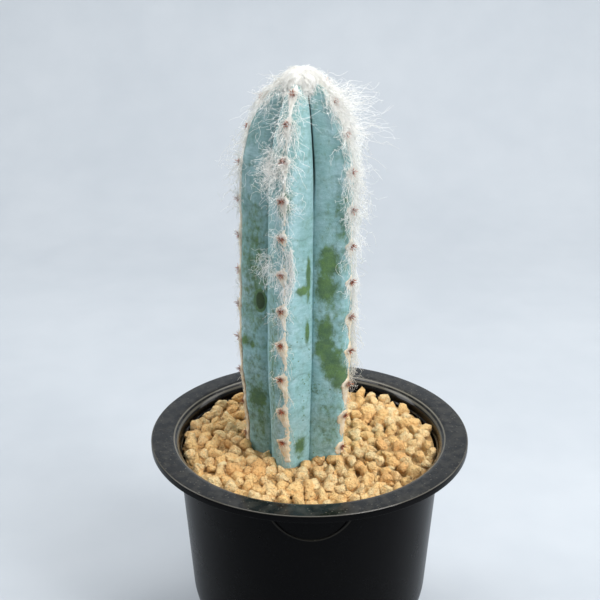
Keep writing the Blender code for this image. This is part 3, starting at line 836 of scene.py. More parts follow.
def makeStemMaterial():
    material, tree, shader, place = newMaterial("Waxy blue skin", 0.5)
    shader.inputs["Specular IOR Level"].default_value = 0.42
    rise = splitXyz(tree, place)["Z"]
    level = stem["gravelLevel"]
    upper = smoothRange(tree, rise, level + 0.02, level + 0.16)
    blue = mixColours(tree, upper, stem["bloomDull"], stem["bloomBlue"])
    powder = addMottle(tree, place, 75.0, 0.38, 0.64)
    crest = readAttribute(tree, "crest")
    pale = times(tree, smoothRange(tree, crest, 0.2, 0.9, 0.45, 0.85), powder)
    skin = mixColours(tree, pale, blue, stem["bloomLight"])
    # green shows where the bloom is gone
    stretched = addNode(tree, "ShaderNodeMapping", {"Vector": place, "Scale": (1.0, 1.0, 0.7)}).outputs[0]
    ragged = addNoise(tree, stretched, 420.0, 6.0, 0.65)
    edge = addMath(tree, "MULTIPLY_ADD", ragged, 1.7, -0.85)
    roughEdged = addMath(tree, "ADD", readAttribute(tree, "rubbed"), edge)
    rubbed = smoothRange(tree, roughEdged, -0.05, 0.75, 0.0, 0.92)
    scar = smoothRange(tree, roughEdged, 1.70, 2.50)
    scuff = addNoise(tree, place, 190.0, 9.0, 0.75)
    specks = smoothRange(tree, scuff, 0.55, 0.66, 0.0, 0.75)
    flecks = addNode(tree, "ShaderNodeTexVoronoi", {"Vector": place, "Scale": 420.0})
    few = addNode(tree, "ShaderNodeSeparateColor", {0: flecks.outputs["Color"]}).outputs[0]
    dots = smoothRange(tree, flecks.outputs["Distance"], 0.12, 0.26, 0.80, 0.0)
    specks = addMath(tree, "MAXIMUM", specks, times(tree, dots, smoothRange(tree, few, 0.52, 0.60)))
    low = smoothRange(tree, rise, level + 0.03, level + 0.13, 1.0, 0.40)
    worn = addMath(tree, "MAXIMUM", addMath(tree, "MAXIMUM", rubbed, scar), times(tree, specks, low))
    depth = addMottle(tree, place, 240.0, 0.3, 0.7)
    green = mixColours(tree, depth, stem["darkGreen"], stem["green"])
    green = mixColours(tree, times(tree, scar, 0.85), green, stem["scar"])
    skin = mixColours(tree, worn, skin, green)
    fold = times(tree, readAttribute(tree, "crease"), 0.42)
    skin = mixColours(tree, fold, skin, stem["darkGreen"])
    # the powdery coat is uneven in fine level streaks
    layered = addNode(tree, "ShaderNodeMapping", {"Vector": place, "Scale": (1.0, 1.0, 2.4)}).outputs[0]
    streaks = addNoise(tree, layered, 260.0, 7.0, 0.7)
    veil = smoothRange(tree, streaks, 0.35, 0.65, 0.34, 0.0)
    veil = times(tree, veil, smoothRange(tree, worn, 0.2, 0.9, 1.0, 0.2))
    skin = mixColours(tree, veil, skin, stem["bloomShade"])
    # painted shade darkens the valley's slit
    skin = mixColours(tree, times(tree, readAttribute(tree, "cleftPaintedShade"), 0.95), skin, stem["cleftPaintedShade"])
    tree.links.new(skin, shader.inputs["Base Color"])
    tree.links.new(smoothRange(tree, worn, 0.0, 1.0, 0.58, 0.66), shader.inputs["Roughness"])
    pores = addNoise(tree, place, 1500.0, 4.0)
    height = addMath(tree, "MULTIPLY_ADD", streaks, 2.5, pores)
    addBump(tree, shader, height, 0.00022, 0.6)
    return material


# the gravel

gravel = {
    "layers": (
        # height above the level, smallest gap between stones, mean radius, seed
        (-0.0026, 0.0046, 0.0035, 3),
        (-0.0002, 0.0055, 0.0039, 8),
    ),
    "inner": 0.0018,
    "outer": 0.0023,
    "rings": 8,
    "stoneSizes": ((0.92, 0.74, 0.66), (1.34, 1.10, 0.98)),
    "jitter": 0.0008,
    "lump": 0.0046,
    "light": srgb(255, 230, 175),
    "tan": srgb(255, 214, 146),
    "brown": srgb(246, 188, 116),
    # dark brown of the painted shade in pits, low between stones and on the layer beneath
    "paintedShadeBrown": srgb(104, 70, 40),
    "lowPaintedShade": 0.60,
    "pitPaintedShade": 0.45,
    "crevicePaintedShade": 0.55,
    "relief": 0.0011,
    "beneathPaintedShade": 0.42,  # painted shade: how much darker the layer beneath is
    "damp": srgb(34, 24, 16),
    "dry": srgb(92, 68, 48),
}


def makeGravelTree():
    tree, source, sink = newTree(
        "Scattered stones",
        "GeometryNodeTree",
        [
            ("Geometry", "NodeSocketGeometry", None),
            ("Gap", "NodeSocketFloat", 0.005),
            ("Stone Radius", "NodeSocketFloat", 0.003),
            ("Jitter", "NodeSocketFloat", 0.0008),
            ("Lump", "NodeSocketFloat", 0.002),
            ("Seed", "NodeSocketInt", 1),
            ("Material", "NodeSocketMaterial", None),
        ],
        [("Geometry", "NodeSocketGeometry")],
    )
    points = addNode(
        tree,
        "GeometryNodeDistributePointsOnFaces",
        {
            "Mesh": source["Geometry"],
            "Distance Min": source["Gap"],
            "Density Max": 400000.0,
            "Seed": source["Seed"],
        },
        distribute_method="POISSON",
    )
    drop = randomValue(tree, source["Seed"], -1.0, 1.0)
    lift = combineXyz(tree, z=times(tree, drop, source["Jitter"]))
    placed = movePoints(tree, points.outputs["Points"], lift)
    stone = addNode(
        tree,
        "GeometryNodeMeshIcoSphere",
        {"Radius": source["Stone Radius"], "Subdivisions": 2},
    )
    seeds = [addMath(tree, "ADD", source["Seed"], step) for step in (11.0, 29.0, 53.0)]
    turn = randomValue(tree, seeds[0], (0.0, 0.0, 0.0), (6.28, 6.28, 6.28))
    size = randomValue(tree, seeds[1], *gravel["stoneSizes"])
    scattered = addNode(
        tree,
        "GeometryNodeInstanceOnPoints",
        {
            "Points": placed,
            "Instance": stone.outputs["Mesh"],
            "Rotation": turn,
            "Scale": size,
        },
    )
    tone = randomValue(tree, seeds[2])
    whole = realizeAll(tree, storeAttribute(tree, scattered.outputs[0], "stoneTone", tone, "INSTANCE"))
    # every stone gets its own angular lumps from where it lies
    where = addNode(tree, "GeometryNodeInputPosition").outputs[0]
    cells = addNode(tree, "ShaderNodeTexVoronoi", {"Vector": where, "Scale": 260.0}, feature="SMOOTH_F1")
    lumps = addNode(tree, "ShaderNodeTexNoise", {"Vector": where, "Scale": 230.0, "Detail": 1.0})
    centred = addVectorMath(tree, "SUBTRACT", lumps.outputs["Color"], (0.5, 0.5, 0.5))
    normal = addNode(tree, "GeometryNodeInputNormal").outputs[0]
    inward = times(tree, cells.outputs["Distance"], -0.38)
    push = addVectorMath(tree, "ADD", centred, scaled(tree, normal, inward))
    endTree(tree, movePoints(tree, whole, scaled(tree, push, source["Lump"])), source, sink)
    return tree


def gravelDisc(height):
    # a flat ring of faces between the stem's outline and the pot's wall
    sides = np.linspace(-1, 1, 12, endpoint=False)
    outline = [ribPoint(rib, sides, np.zeros(12), gravel["inner"]) for rib in range(stem["ribs"])]
    inner = np.concatenate(outline)
    radius = potRadius(stem["gravelLevel"]) - pot["wall"] - gravel["outer"]
    rings = []
    for share in np.linspace(0, 1, gravel["rings"]):
        ring = inner.copy()
        direction = inner[:, :2] - np.array([stem["axisX"], 0])
        turn = np.arctan2(direction[:, 1], direction[:, 0])
        outer = np.stack([radius * np.cos(turn), radius * np.sin(turn)], -1)
        ring[:, :2] = inner[:, :2] * (1 - share) + outer * share
        ring[:, 2] = stem["gravelLevel"] + height
        rings.append(ring)
    return meshFromRings("gravelDisc", rings[::-1])


def makeGravel(material, bedMaterial):
    tree = makeGravelTree()
    for number, (height, gap, radius, seed) in enumerate(gravel["layers"], start=1):
        values = {
            "Gap": gap,
            "Stone Radius": radius,
            "Jitter": gravel["jitter"],
            "Lump": gravel["lump"],
            "Seed": seed,
            "Material": material,
        }
        piece = grow(f"gravelLayer{number}", tree, gravelDisc(height), values)
        finishPiece(piece, material, stoneNodes if number == 2 else [])
    paintNode("gravel_bed", bedMaterial)


def makeStoneMaterial(name, shade):
    material, tree, shader, place = newMaterial(name, 0.92)
    tone = readAttribute(tree, "stoneTone")
    base = mixColours(tree, smoothRange(tree, tone, 0.15, 0.75), gravel["tan"], gravel["light"])
    base = mixColours(tree, smoothRange(tree, tone, 0.86, 0.93, 0.0, 0.8), base, gravel["brown"])
    stains = addMottle(tree, place, 210.0, 0.40, 0.66)
    base = mixColours(tree, times(tree, stains, 0.60), base, gravel["brown"])
    # painted shade: the stones are darker low down between them
    rise = splitXyz(tree, place)["Z"]
    level = stem["gravelLevel"]
    lowShade = smoothRange(tree, rise, level - 0.0042, level - 0.0008, gravel["lowPaintedShade"], 0.0)
    base = mixColours(tree, lowShade, base, gravel["paintedShadeBrown"])
    # painted shade in the pits, which the bump also sinks
    pits = addNode(tree, "ShaderNodeTexVoronoi", {"Vector": place, "Scale": 1100.0})
    pores = smoothRange(tree, pits.outputs["Distance"], 0.05, 0.34, 0.8, 0.0)
    base = mixColours(tree, times(tree, pores, gravel["pitPaintedShade"]), base, gravel["paintedShadeBrown"])
    # painted shade in the crevices between the knobs, which the bump also sinks
    knobs = addNoise(tree, place, 480.0, 4.0, 0.6)
    crevices = smoothRange(tree, knobs, 0.36, 0.50, gravel["crevicePaintedShade"], 0.0)
    base = mixColours(tree, crevices, base, gravel["brown"])
    # painted shade over the whole layer beneath and the gravel bed
    base = mixColours(tree, shade, base, gravel["paintedShadeBrown"])
    tree.links.new(base, shader.inputs["Base Color"])
    grit = addNoise(tree, place, 1100.0, 6.0, 0.7)
    height = addMath(tree, "SUBTRACT", grit, pores)
    height = addMath(tree, "MULTIPLY_ADD", knobs, 3.6, height)
    addBump(tree, shader, height, gravel["relief"], 1.0)
    return material


def makeCompostMaterial():
    material, tree, shader, place = newMaterial("Damp compost", 0.95)
    crumbs = addMottle(tree, place, 260.0, 0.3, 0.7)
    colour = mixColours(tree, crumbs, gravel["damp"], gravel["dry"])
    tree.links.new(colour, shader.inputs["Base Color"])
    addBump(tree, shader, crumbs, 0.001, 0.8)
    return material


# felt strips along the ribs

felt = {
    "width": 0.0030,
    "widthTop": 0.0013,
    # how wide each rib's cord is against the others
    "shares": (1.0, 1.75, 1.1, 1.2, 0.8),
    "sharesTop": (1.0, 0.9, 1.0, 1.0, 1.7),
    "cushionShares": (1.0, 1.0, 0.9, 0.9, 0.7),
    "thickShares": (1.0, 1.0, 1.0, 1.0, 2.2),
    "tail": 0.0068,
    "tailTop": 0.0036,
    "head": 0.0023,
    "cushion": 0.0080,
    "thickness": 0.0006,
    "cushionThickness": 0.0014,
    "sink": 0.0004,
    "step": 0.0006,
    "sideSteps": 14,
    "youngHeight": 0.11,  # height over which the areoles change from old to young
    "youngCut": 0.14,
    "topStart": 0.138,
    "topSpan": 0.02,
    "topCut": 0.34,
    "waver": 0.25,
    "lump": 0.00040,
    "coreSize": 0.0013,
    "white": srgb(252, 250, 242),
    "cream": srgb(238, 226, 200),
    "tan": srgb(232, 210, 170),
    "brown": srgb(104, 46, 26),
    # brown of the painted shade along the strip's edges
    "outline": srgb(136, 106, 74),
}


def feltShape(rib, height):
    # half the strip's width, how far right of the crest it lies, how swollen it is and how near an areole
    gap = np.array(areoleHeightList[rib]) - height
    above = gap[gap >= 0].min() if (gap >= 0).any() else 1.0
    below = -gap[gap < 0].max() if (gap < 0).any() else 1.0
    young = float(ease(height / felt["youngHeight"]))
    # a cushion ends abruptly above its areole and tapers to the right below it, most on the old ones
    tail = felt["tail"] + (felt["tailTop"] - felt["tail"]) * young
    swell = max(math.exp(-((above / tail) ** 2)), math.exp(-((below / felt["head"]) ** 2)))
    old = felt["width"] * felt["shares"][rib]
    narrow = old + (felt["widthTop"] * felt["sharesTop"][rib] - old) * young
    top = float(ease((height - felt["topStart"]) / felt["topSpan"]))
    fullness = 1 - felt["youngCut"] * young - felt["topCut"] * top
    cushion = felt["cushion"] * felt["cushionShares"][rib] * fullness
    half = (narrow + (cushion - narrow) * swell) / 2
    shift = (cushion / 2 - half) * (1 - 0.6 * young)
    return half, shift, swell, min(above, below)


def makeFeltStrip(rib, material):
    # follows the crest from the gravel to the crown, swollen at each areole
    rows, core, border = [], [], []
    top = stem["height"] - 0.0016
    height = stem["feltStart"] - 0.001
    while height < top:
        half, shift, swell, near = feltShape(rib, height)
        crest = float(crestRadius(height))
        rounding = crest * stem["crestRounding"]
        half *= 1 + felt["waver"] * noise.noise(Vector((rib * 7.3, height * 420, 0)))
        half = min(half, rounding * 0.8)
        thick = felt["thickness"] * felt["thickShares"][rib]
        thick += (felt["cushionThickness"] - felt["thickness"]) * swell
        tangentSide = stem["crestShare"] / stem["crestTurn"]
        row = []
        for k in range(felt["sideSteps"]):
            around = math.tau * k / felt["sideSteps"]
            across = math.cos(around) * half
            lift = max(-0.35, math.sin(around)) * thick
            jitter = noise.noise(Vector((across * 900, height * 900, rib * 5.0 + lift * 500)))
            side = (shift + across) / max(rounding, 0.001) * tangentSide
            row.append(ribPoint(rib, side, height, lift - felt["sink"] + felt["lump"] * jitter))
            border.append(abs(math.cos(around)) ** 3)
            size = felt["coreSize"]
            core.append(math.exp(-((near / size) ** 2) - (((across + shift) / size) ** 2)))
        rows.append(row)
        slope = float(crestRadius(height + 0.0001) - crest) / 0.0001
        height += max(felt["step"] / math.hypot(1, slope), 0.00012)
    bottom = np.mean(rows[0], axis=0)
    tip = np.mean(rows[-1], axis=0)
    name = f"feltStrip{rib + 1}"
    mesh = meshFromRings(name, rows, bottom, tip)
    setAttribute(mesh, "core", core + [0, 0])
    setAttribute(mesh, "border", border + [0, 0])
    bm = bmesh.new()
    bm.from_mesh(mesh)
    bmesh.ops.recalc_face_normals(bm, faces=bm.faces)
    bm.to_mesh(mesh)
    bm.free()
    return finishPiece(linkObject(name, mesh), material, [f"areole_row_{rib + 1}"])


def makeFeltMaterial():
    material, tree, shader, place = newMaterial("Areole felt", 0.95)
    rise = splitXyz(tree, place)["Z"]
    level = stem["gravelLevel"]
    age = smoothRange(tree, rise, level + 0.03, level + 0.12)
    base = mixColours(tree, age, felt["tan"], felt["cream"])
    base = mixColours(tree, smoothRange(tree, rise, level + 0.10, level + 0.16), base, felt["white"])
    blotch = addMottle(tree, place, 300.0, 0.38, 0.62)
    base = mixColours(tree, times(tree, blotch, 0.5), base, felt["white"])
    # painted shade: darker brown along the strip's edges where it meets the skin, most on the lower areoles
    outline = smoothRange(tree, rise, level + 0.05, level + 0.13, 0.75, 0.10)
    outline = times(tree, smoothRange(tree, readAttribute(tree, "border"), 0.35, 0.85), outline)
    base = mixColours(tree, outline, base, felt["outline"])
    core = times(tree, readAttribute(tree, "core"), 1.1)
    base = mixColours(tree, core, base, felt["brown"])
    tree.links.new(base, shader.inputs["Base Color"])
    nap = addNoise(tree, place, 1800.0, 5.0, 0.7)
    addBump(tree, shader, nap, 0.0005, 0.9)
    return material


# spines and hairs

def makeStrandTree():
    tree, source, sink = newTree(
        "Strands",
        "GeometryNodeTree",
        [
            ("Geometry", "NodeSocketGeometry", None),
            ("Points", "NodeSocketInt", 8),
            ("Thickness", "NodeSocketFloat", 0.00005),
            ("Taper", "NodeSocketFloat", 0.7),
            ("Curl", "NodeSocketFloat", 0.002),
            ("Curl Size", "NodeSocketFloat", 0.005),
            ("Droop", "NodeSocketFloat", 0.002),
            ("Stray", "NodeSocketFloat", 0.05),
            ("Seed", "NodeSocketInt", 1),
            ("Material", "NodeSocketMaterial", None),
        ],
        [("Geometry", "NodeSocketGeometry")],
    )
    line = addNode(tree, "GeometryNodeCurvePrimitiveLine", {"Start": (0, 0, 0), "End": (0, 0, 1)})
    fine = addNode(tree, "GeometryNodeResampleCurve", {"Curve": line.outputs[0], "Count": source["Points"]})
    aim = namedAttribute(tree, "aim", "FLOAT_VECTOR")
    reach = namedAttribute(tree, "reach")
    turned = addNode(tree, "FunctionNodeAlignRotationToVector", {"Vector": aim}, axis="Z").outputs[0]
    size = combineXyz(tree, reach, reach, reach)
    rooted = addNode(
        tree,
        "GeometryNodeInstanceOnPoints",
        {"Points": source["Geometry"], "Instance": fine.outputs[0], "Rotation": turned, "Scale": size},
    )
    tone = randomValue(tree, source["Seed"])
    loose = realizeAll(tree, storeAttribute(tree, rooted.outputs[0], "strandTone", tone, "INSTANCE"))
    along = addNode(tree, "GeometryNodeSplineParameter").outputs["Factor"]
    own = namedAttribute(tree, "strandTone")
    where = addNode(tree, "GeometryNodeInputPosition").outputs[0]
    # every strand reads the noise at its own place, so neighbours part
    apart = combineXyz(tree, own, times(tree, own, 3.7), own)
    sample = addVectorMath(tree, "ADD", where, scaled(tree, apart, source["Stray"]))
    waves = addNode(
        tree,
        "ShaderNodeTexNoise",
        {"Vector": sample, "Scale": addMath(tree, "DIVIDE", 1.0, source["Curl Size"]), "Detail": 1.0},
    )
    centred = addVectorMath(tree, "SUBTRACT", waves.outputs["Color"], (0.5, 0.5, 0.5))
    grip = addMath(tree, "POWER", along, 0.7)
    bend = scaled(tree, centred, times(tree, grip, times(tree, source["Curl"], 3.0)))
    sag = times(tree, times(tree, along, along), source["Droop"])
    down = combineXyz(tree, z=times(tree, sag, -1.0))
    moved = movePoints(tree, loose, addVectorMath(tree, "ADD", bend, down))
    marked = storeAttribute(tree, moved, "alongStrand", along, "POINT")
    thin = addMath(tree, "SUBTRACT", 1.0, times(tree, along, source["Taper"]))
    section = addNode(
        tree,
        "GeometryNodeCurvePrimitiveCircle",
        {"Resolution": 3, "Radius": source["Thickness"]},
    )
    tube = addNode(
        tree,
        "GeometryNodeCurveToMesh",
        {"Curve": marked, "Profile Curve": section.outputs[0], "Scale": thin, "Fill Caps": True},
    )
    endTree(tree, tube.outputs[0], source, sink)
    return tree


def rootMesh(name, roots):
    mesh = bpy.data.meshes.new(name)
    mesh.from_pydata([tuple(point) for point, _, _ in roots], [], [])
    setAttribute(mesh, "aim", [tuple(aim) for _, aim, _ in roots], "FLOAT_VECTOR")
    setAttribute(mesh, "reach", [reach for _, _, reach in roots])
    return mesh


spines = {
    "count": 9,
    "centrals": 3,
    "length": (0.0014, 0.0025),
    "central": 0.0030,
    "tilt": (0.75, 1.25),
    "centralTilt": (0.1, 0.5),
    "lift": 0.0012,
    "ring": 0.0004,
    "topShrink": 0.75,
    "root": srgb(138, 60, 32),
    "tip": srgb(196, 118, 74),
    "dark": srgb(78, 36, 24),
}


def spineRoots():
    roots = []
    for rib in range(stem["ribs"]):
        for height in areoleHeightList[rib]:
            point, out, up, across = ribFrame(rib, 0.0, height)
            point = point + out * spines["lift"]
            shrink = spines["topShrink"] if height > stem["shoulderHeight"] + 0.02 else 1.0
            for k in range(spines["count"] + spines["centrals"]):
                central = k >= spines["count"]
                turn = math.tau * k / spines["count"] + rng.uniform(-0.3, 0.3)
                tilt = rng.uniform(*spines["centralTilt" if central else "tilt"])
                sideways = across * math.cos(turn) + up * math.sin(turn)
                aim = out * math.cos(tilt) + sideways * math.sin(tilt)
                if central:
                    length = spines["central"] * rng.uniform(0.6, 1.0)
                else:
                    length = rng.uniform(*spines["length"])
                roots.append((point + sideways * spines["ring"], aim, length * shrink))
    return roots


hair = {
    "cordPerRib": (260, 130, 260, 260, 80),
    "crown": 2500,
    "crownLength": (0.0022, 0.0050),
    # rib, side from and to, height from and to, count, shortest, longest, push (out, up, across), spread
    "patches": (
        (1, -0.20, 0.62, 0.096, 0.168, 160, 0.008, 0.017, (0.10, -0.95, 0.10), 0.35),
        (1, -0.25, 0.85, 0.120, 0.172, 110, 0.008, 0.016, (0.16, -0.90, 0.20), 0.50),
        (1, -0.30, 0.60, 0.160, 0.1765, 280, 0.005, 0.011, (0.12, -0.80, 0.25), 0.5),
        (4, -0.45, 0.45, 0.163, 0.1765, 240, 0.004, 0.008, (0.12, -0.80, 0.0), 0.6),
        (0, -0.30, 0.20, 0.172, 0.1768, 30, 0.002, 0.004, (0.10, -0.80, 0.0), 0.6),
        (0, 0.19, 0.24, 0.094, 0.111, 60, 0.006, 0.010, (0.04, -0.98, 0.02), 0.08),
        (0, 0.17, 0.24, 0.087, 0.094, 28, 0.004, 0.007, (0.04, -0.80, -0.45), 0.12),
        (1, 0.00, 0.45, 0.040, 0.100, 170, 0.006, 0.012, (0.08, -0.95, 0.05), 0.25),
        (0, -0.25, 0.25, 0.148, 0.168, 60, 0.005, 0.010, (0.12, -0.9, 0.1), 0.4),
        (4, -0.35, 0.15, 0.118, 0.165, 60, 0.005, 0.010, (0.20, -0.9, 0.0), 0.5),
        (2, -0.35, 0.35, 0.105, 0.168, 330, 0.007, 0.014, (0.12, -0.95, 0.0), 0.4),
        (3, -0.35, 0.35, 0.105, 0.168, 330, 0.007, 0.014, (0.12, -0.95, 0.0), 0.4),
    ),
    "curls": (
        (0, -0.62, 0.12, 0.132, 0.149, 210, 0.005, 0.009, (0.22, -0.3, -0.1), 1.0),
        (0, -0.90, -0.10, 0.094, 0.104, 60, 0.005, 0.008, (0.22, -0.3, 0.0), 1.0),
        (4, -0.30, 0.20, 0.122, 0.150, 40, 0.006, 0.011, (0.5, -0.5, 0.0), 0.8),
        (1, -0.15, 0.60, 0.095, 0.166, 150, 0.007, 0.014, (0.30, -0.70, 0.10), 0.9),
    ),
    "tuft": 54,
    "threads": 80,
    "lockHairs": 150,
    "flyaways": 34,
    "bright": srgb(254, 254, 252),
    "cream": srgb(244, 242, 234),
    "aged": srgb(228, 212, 182),
    "root": srgb(214, 206, 188),
}

# the felted cap under the crown's hairs
wool = {
    "radius": 0.0086,
    "drop": 0.0050,
    "rise": 0.0030,
    "rings": 28,
    "steps": 80,
    "shade": srgb(240, 239, 232),
    "light": srgb(255, 255, 253),
}

# points along a strand, its thickness, taper, curl, curl size, droop and how far apart neighbours wave
strands = {
    "spineClusters": (4, 0.00025, 0.8, 0.0002, 0.004, 0.0, 0.05),
    "cordHair": (8, 0.00007, 0.5, 0.0012, 0.0036, 0.0004, 0.01),
    "areoleTufts": (12, 0.00008, 0.4, 0.0028, 0.0026, 0.0010, 0.02),
    "crownHair": (7, 0.00008, 0.5, 0.0010, 0.0034, 0.0006, 0.03),
    "hairCurtains": (14, 0.00009, 0.4, 0.0046, 0.0046, 0.0020, 0.009),
    "hairCurls": (22, 0.00007, 0.3, 0.0056, 0.0032, 0.0012, 0.02),
    "longThreads": (14, 0.00007, 0.6, 0.0024, 0.0070, 0.0022, 0.05),
    "looseLocks": (20, 0.00008, 0.5, 0.0052, 0.0075, 0.0030, 0.006),
}


def unit(vector):
    return vector / (np.linalg.norm(vector) + 1e-12)


def patchRoots(patches):
    roots = []
    for rib, sideLow, sideHigh, low, high, count, short, long, push, spread in patches:
        for _ in range(count):
            side = rng.uniform(sideLow, sideHigh)
            height = low + (high - low) * rng.beta(1.6, 1.2)
            point, out, up, across = ribFrame(rib, side, height)
            aim = out * push[0] + up * push[1] + across * push[2] + rng.normal(0, spread, 3) * 0.6
            if aim @ out < 0.05:
                aim = aim + out * (0.1 - aim @ out)
            roots.append((point + out * rng.uniform(0.0, 0.0016), unit(aim), rng.uniform(short, long)))
    return roots


def capHeight(angle):
    return wool["rise"] - (wool["drop"] + wool["rise"]) * (1 - math.cos(angle))


def crownRoots():
    roots = []
    tip = np.array([stem["tipX"], 0.0, stemTop])
    for _ in range(hair["crown"]):
        share = 1.02 * math.sqrt(rng.uniform(0, 1))
        turn = rng.uniform(0, math.tau)
        radial = np.array([math.cos(turn), math.sin(turn), 0.0])
        angle = share * math.pi / 2
        rise = np.array([0, 0, capHeight(angle) + 0.0002])
        point = tip + radial * wool["radius"] * math.sin(min(angle, 1.57)) + rise
        slope = (wool["drop"] + wool["rise"]) / wool["radius"] * math.tan(min(angle, 1.25))
        swirl = np.cross(radial, (0, 0, 1)) * rng.normal(0, 0.7)
        outward = unit(radial - np.array([0, 0, 0.8 * slope]))
        aim = outward + swirl + np.array([0, 0, 0.10]) + rng.normal(0, 0.14, 3)
        roots.append((point, unit(aim), rng.uniform(*hair["crownLength"])))
    return roots


def threadRoots():
    # long single hairs that lie across the ribs near the top
    roots = []
    for _ in range(hair["threads"]):
        rib = int(rng.choice([0, 0, 0, 1, 2, 3, 4]))
        height = rng.uniform(0.161, 0.1745)
        point, out, up, across = ribFrame(rib, rng.uniform(-0.2, 0.5), height)
        aim = across * rng.choice([1, 1, -1]) + out * 0.10 + up * rng.normal(-0.1, 0.25)
        roots.append((point + out * 0.0016, unit(aim), rng.uniform(0.010, 0.019)))
    return roots


def lockRoots():
    # the loose locks that stand out past the right-hand rib, and a few stray hairs elsewhere
    roots = []
    for number in range(hair["lockHairs"]):
        rib = 1 if number % 5 else 2
        lockRng = np.random.default_rng(100 + number // 8)
        side = lockRng.uniform(0.0, 0.7)
        height = lockRng.uniform(0.155, 0.1715)
        lean = lockRng.uniform(-0.4, 0.35)
        point, out, up, across = ribFrame(rib, side + rng.normal(0, 0.05), height + rng.normal(0, 0.001))
        aim = out * 0.8 + up * lean + across * 0.25 + rng.normal(0, 0.16, 3)
        aim[2] = min(aim[2], 0.12)
        roots.append((point, unit(aim), rng.uniform(0.012, 0.023)))
    for _ in range(hair["flyaways"]):
        rib = int(rng.choice([1, 1, 1, 2, 4, 0, 3]))
        point, out, up, across = ribFrame(rib, rng.uniform(-0.3, 0.6), rng.uniform(0.10, 0.170))
        aim = out * 0.6 - up * 0.5 + across * rng.normal(0.2, 0.4)
        roots.append((point, unit(aim), rng.uniform(0.007, 0.014)))
    return roots


def cordPlace(rib, height):
    # where the felt's cord runs, as a place across the rib
    rounding = max(float(crestRadius(height)) * stem["crestRounding"], 0.001)
    return feltShape(rib, height)[1] / rounding * stem["crestShare"] / stem["crestTurn"]


def cordRoots():
    # hairs that lie along the cord, each following it for a few millimetres
    roots = []
    for rib in range(stem["ribs"]):
        for _ in range(hair["cordPerRib"][rib]):
            height = rng.uniform(0.006, stem["height"] - 0.006)
            stray = rng.normal(0, 0.05 * felt["shares"][rib])
            side = cordPlace(rib, height) + stray
            point, out, _, _ = ribFrame(rib, side, height)
            ahead = ribPoint(rib, cordPlace(rib, height - 0.003) + stray * 1.3, height - 0.003)
            aim = unit(ahead - point) + out * 0.05 + rng.normal(0, 0.12, 3)
            roots.append((point + out * rng.uniform(0.0004, 0.0010), unit(aim), rng.uniform(0.004, 0.009)))
    return roots


def tuftRoots():
    # tangled hairs round each areole, fuller towards the top and hanging a little
    roots = []
    for rib in range(stem["ribs"]):
        for level in areoleHeightList[rib]:
            young = float(ease((level - 0.02) / felt["youngHeight"]))
            thin = 0.5 if rib == 4 else 1.0
            for _ in range(int(hair["tuft"] * (0.06 + young) * thin)):
                turn = rng.uniform(0, math.tau)
                point, out, up, across = ribFrame(rib, 0.0, level)
                ring = across * math.cos(turn) + up * math.sin(turn)
                root = point + out * 0.0010 + ring * rng.uniform(0.0012, 0.0030) - up * 0.0006
                around = across * -math.sin(turn) + up * math.cos(turn)
                aim = around * rng.choice([-1, 1]) + ring * 0.4 - up * 0.7 + out * rng.uniform(0.0, 0.3)
                roots.append((root, unit(aim), rng.uniform(0.0030, 0.0060) * (0.75 + 0.6 * young)))
    return roots


def makeSpineMaterial():
    material, tree, shader, place = newMaterial("Red-brown spine", 0.45)
    along = readAttribute(tree, "alongStrand")
    base = mixColours(tree, smoothRange(tree, along, 0.1, 0.9), spines["root"], spines["tip"])
    darker = smoothRange(tree, readAttribute(tree, "strandTone"), 0.5, 1.0, 0.0, 0.4)
    base = mixColours(tree, darker, base, spines["dark"])
    tree.links.new(base, shader.inputs["Base Color"])
    grain = addNoise(tree, place, 2500.0, 2.0)
    addBump(tree, shader, grain, 0.0001, 0.5)
    return material


def setSheen(shader):
    shader.inputs["Sheen Weight"].default_value = 0.6
    shader.inputs["Sheen Roughness"].default_value = 0.4


def makeHairMaterial():
    material, tree, shader, place = newMaterial("White plant hair", 0.55)
    setSheen(shader)
    tone = readAttribute(tree, "strandTone")
    base = mixColours(tree, tone, hair["bright"], hair["cream"])
    rise = splitXyz(tree, place)["Z"]
    level = stem["gravelLevel"]
    old = smoothRange(tree, rise, level + 0.01, level + 0.10, 0.70, 0.0)
    base = mixColours(tree, old, base, hair["aged"])
    along = readAttribute(tree, "alongStrand")
    base = mixColours(tree, smoothRange(tree, along, 0.0, 0.4, 0.35, 0.0), base, hair["root"])
    tree.links.new(base, shader.inputs["Base Color"])
    grain = addNoise(tree, place, 3000.0, 2.0)
    addBump(tree, shader, grain, 0.0001, 0.3)
    return material


def makeWoolCap(material):
    rows = []
    for i in range(wool["rings"]):
        angle = (1 - i / wool["rings"]) * math.pi / 2
        radius, height = wool["radius"] * math.sin(angle), capHeight(angle)
        row = []
        for j in range(wool["steps"]):
            turn = math.tau * j / wool["steps"]
            point = Vector((radius * math.cos(turn), radius * math.sin(turn), height))
            lump = 0.0008 * noise.noise(point * 260.0) + 0.00025 * noise.noise(point * 1100.0)
            reach = 1 + lump / max(radius, 0.002)
            row.append((stem["tipX"] + point.x * reach, point.y * reach, stemTop + height + lump * 0.7))
        rows.append(row)
    tip = (stem["tipX"], 0.0, stemTop + wool["rise"])
    base = (stem["tipX"], 0.0, stemTop - wool["drop"] - 0.001)
    mesh = meshFromRings("woolCap", rows, base, tip)
    return finishPiece(linkObject("woolCap", mesh), material, [])


def makeWoolMaterial():
    material, tree, shader, place = newMaterial("Matted wool", 0.95)
    setSheen(shader)
    clumps = addMottle(tree, place, 480.0, 0.3, 0.7)
    base = mixColours(tree, clumps, wool["shade"], wool["light"])
    tree.links.new(base, shader.inputs["Base Color"])
    nap = addNoise(tree, place, 2200.0, 6.0, 0.75)
    addBump(tree, shader, nap, 0.0005, 0.8)
    return material


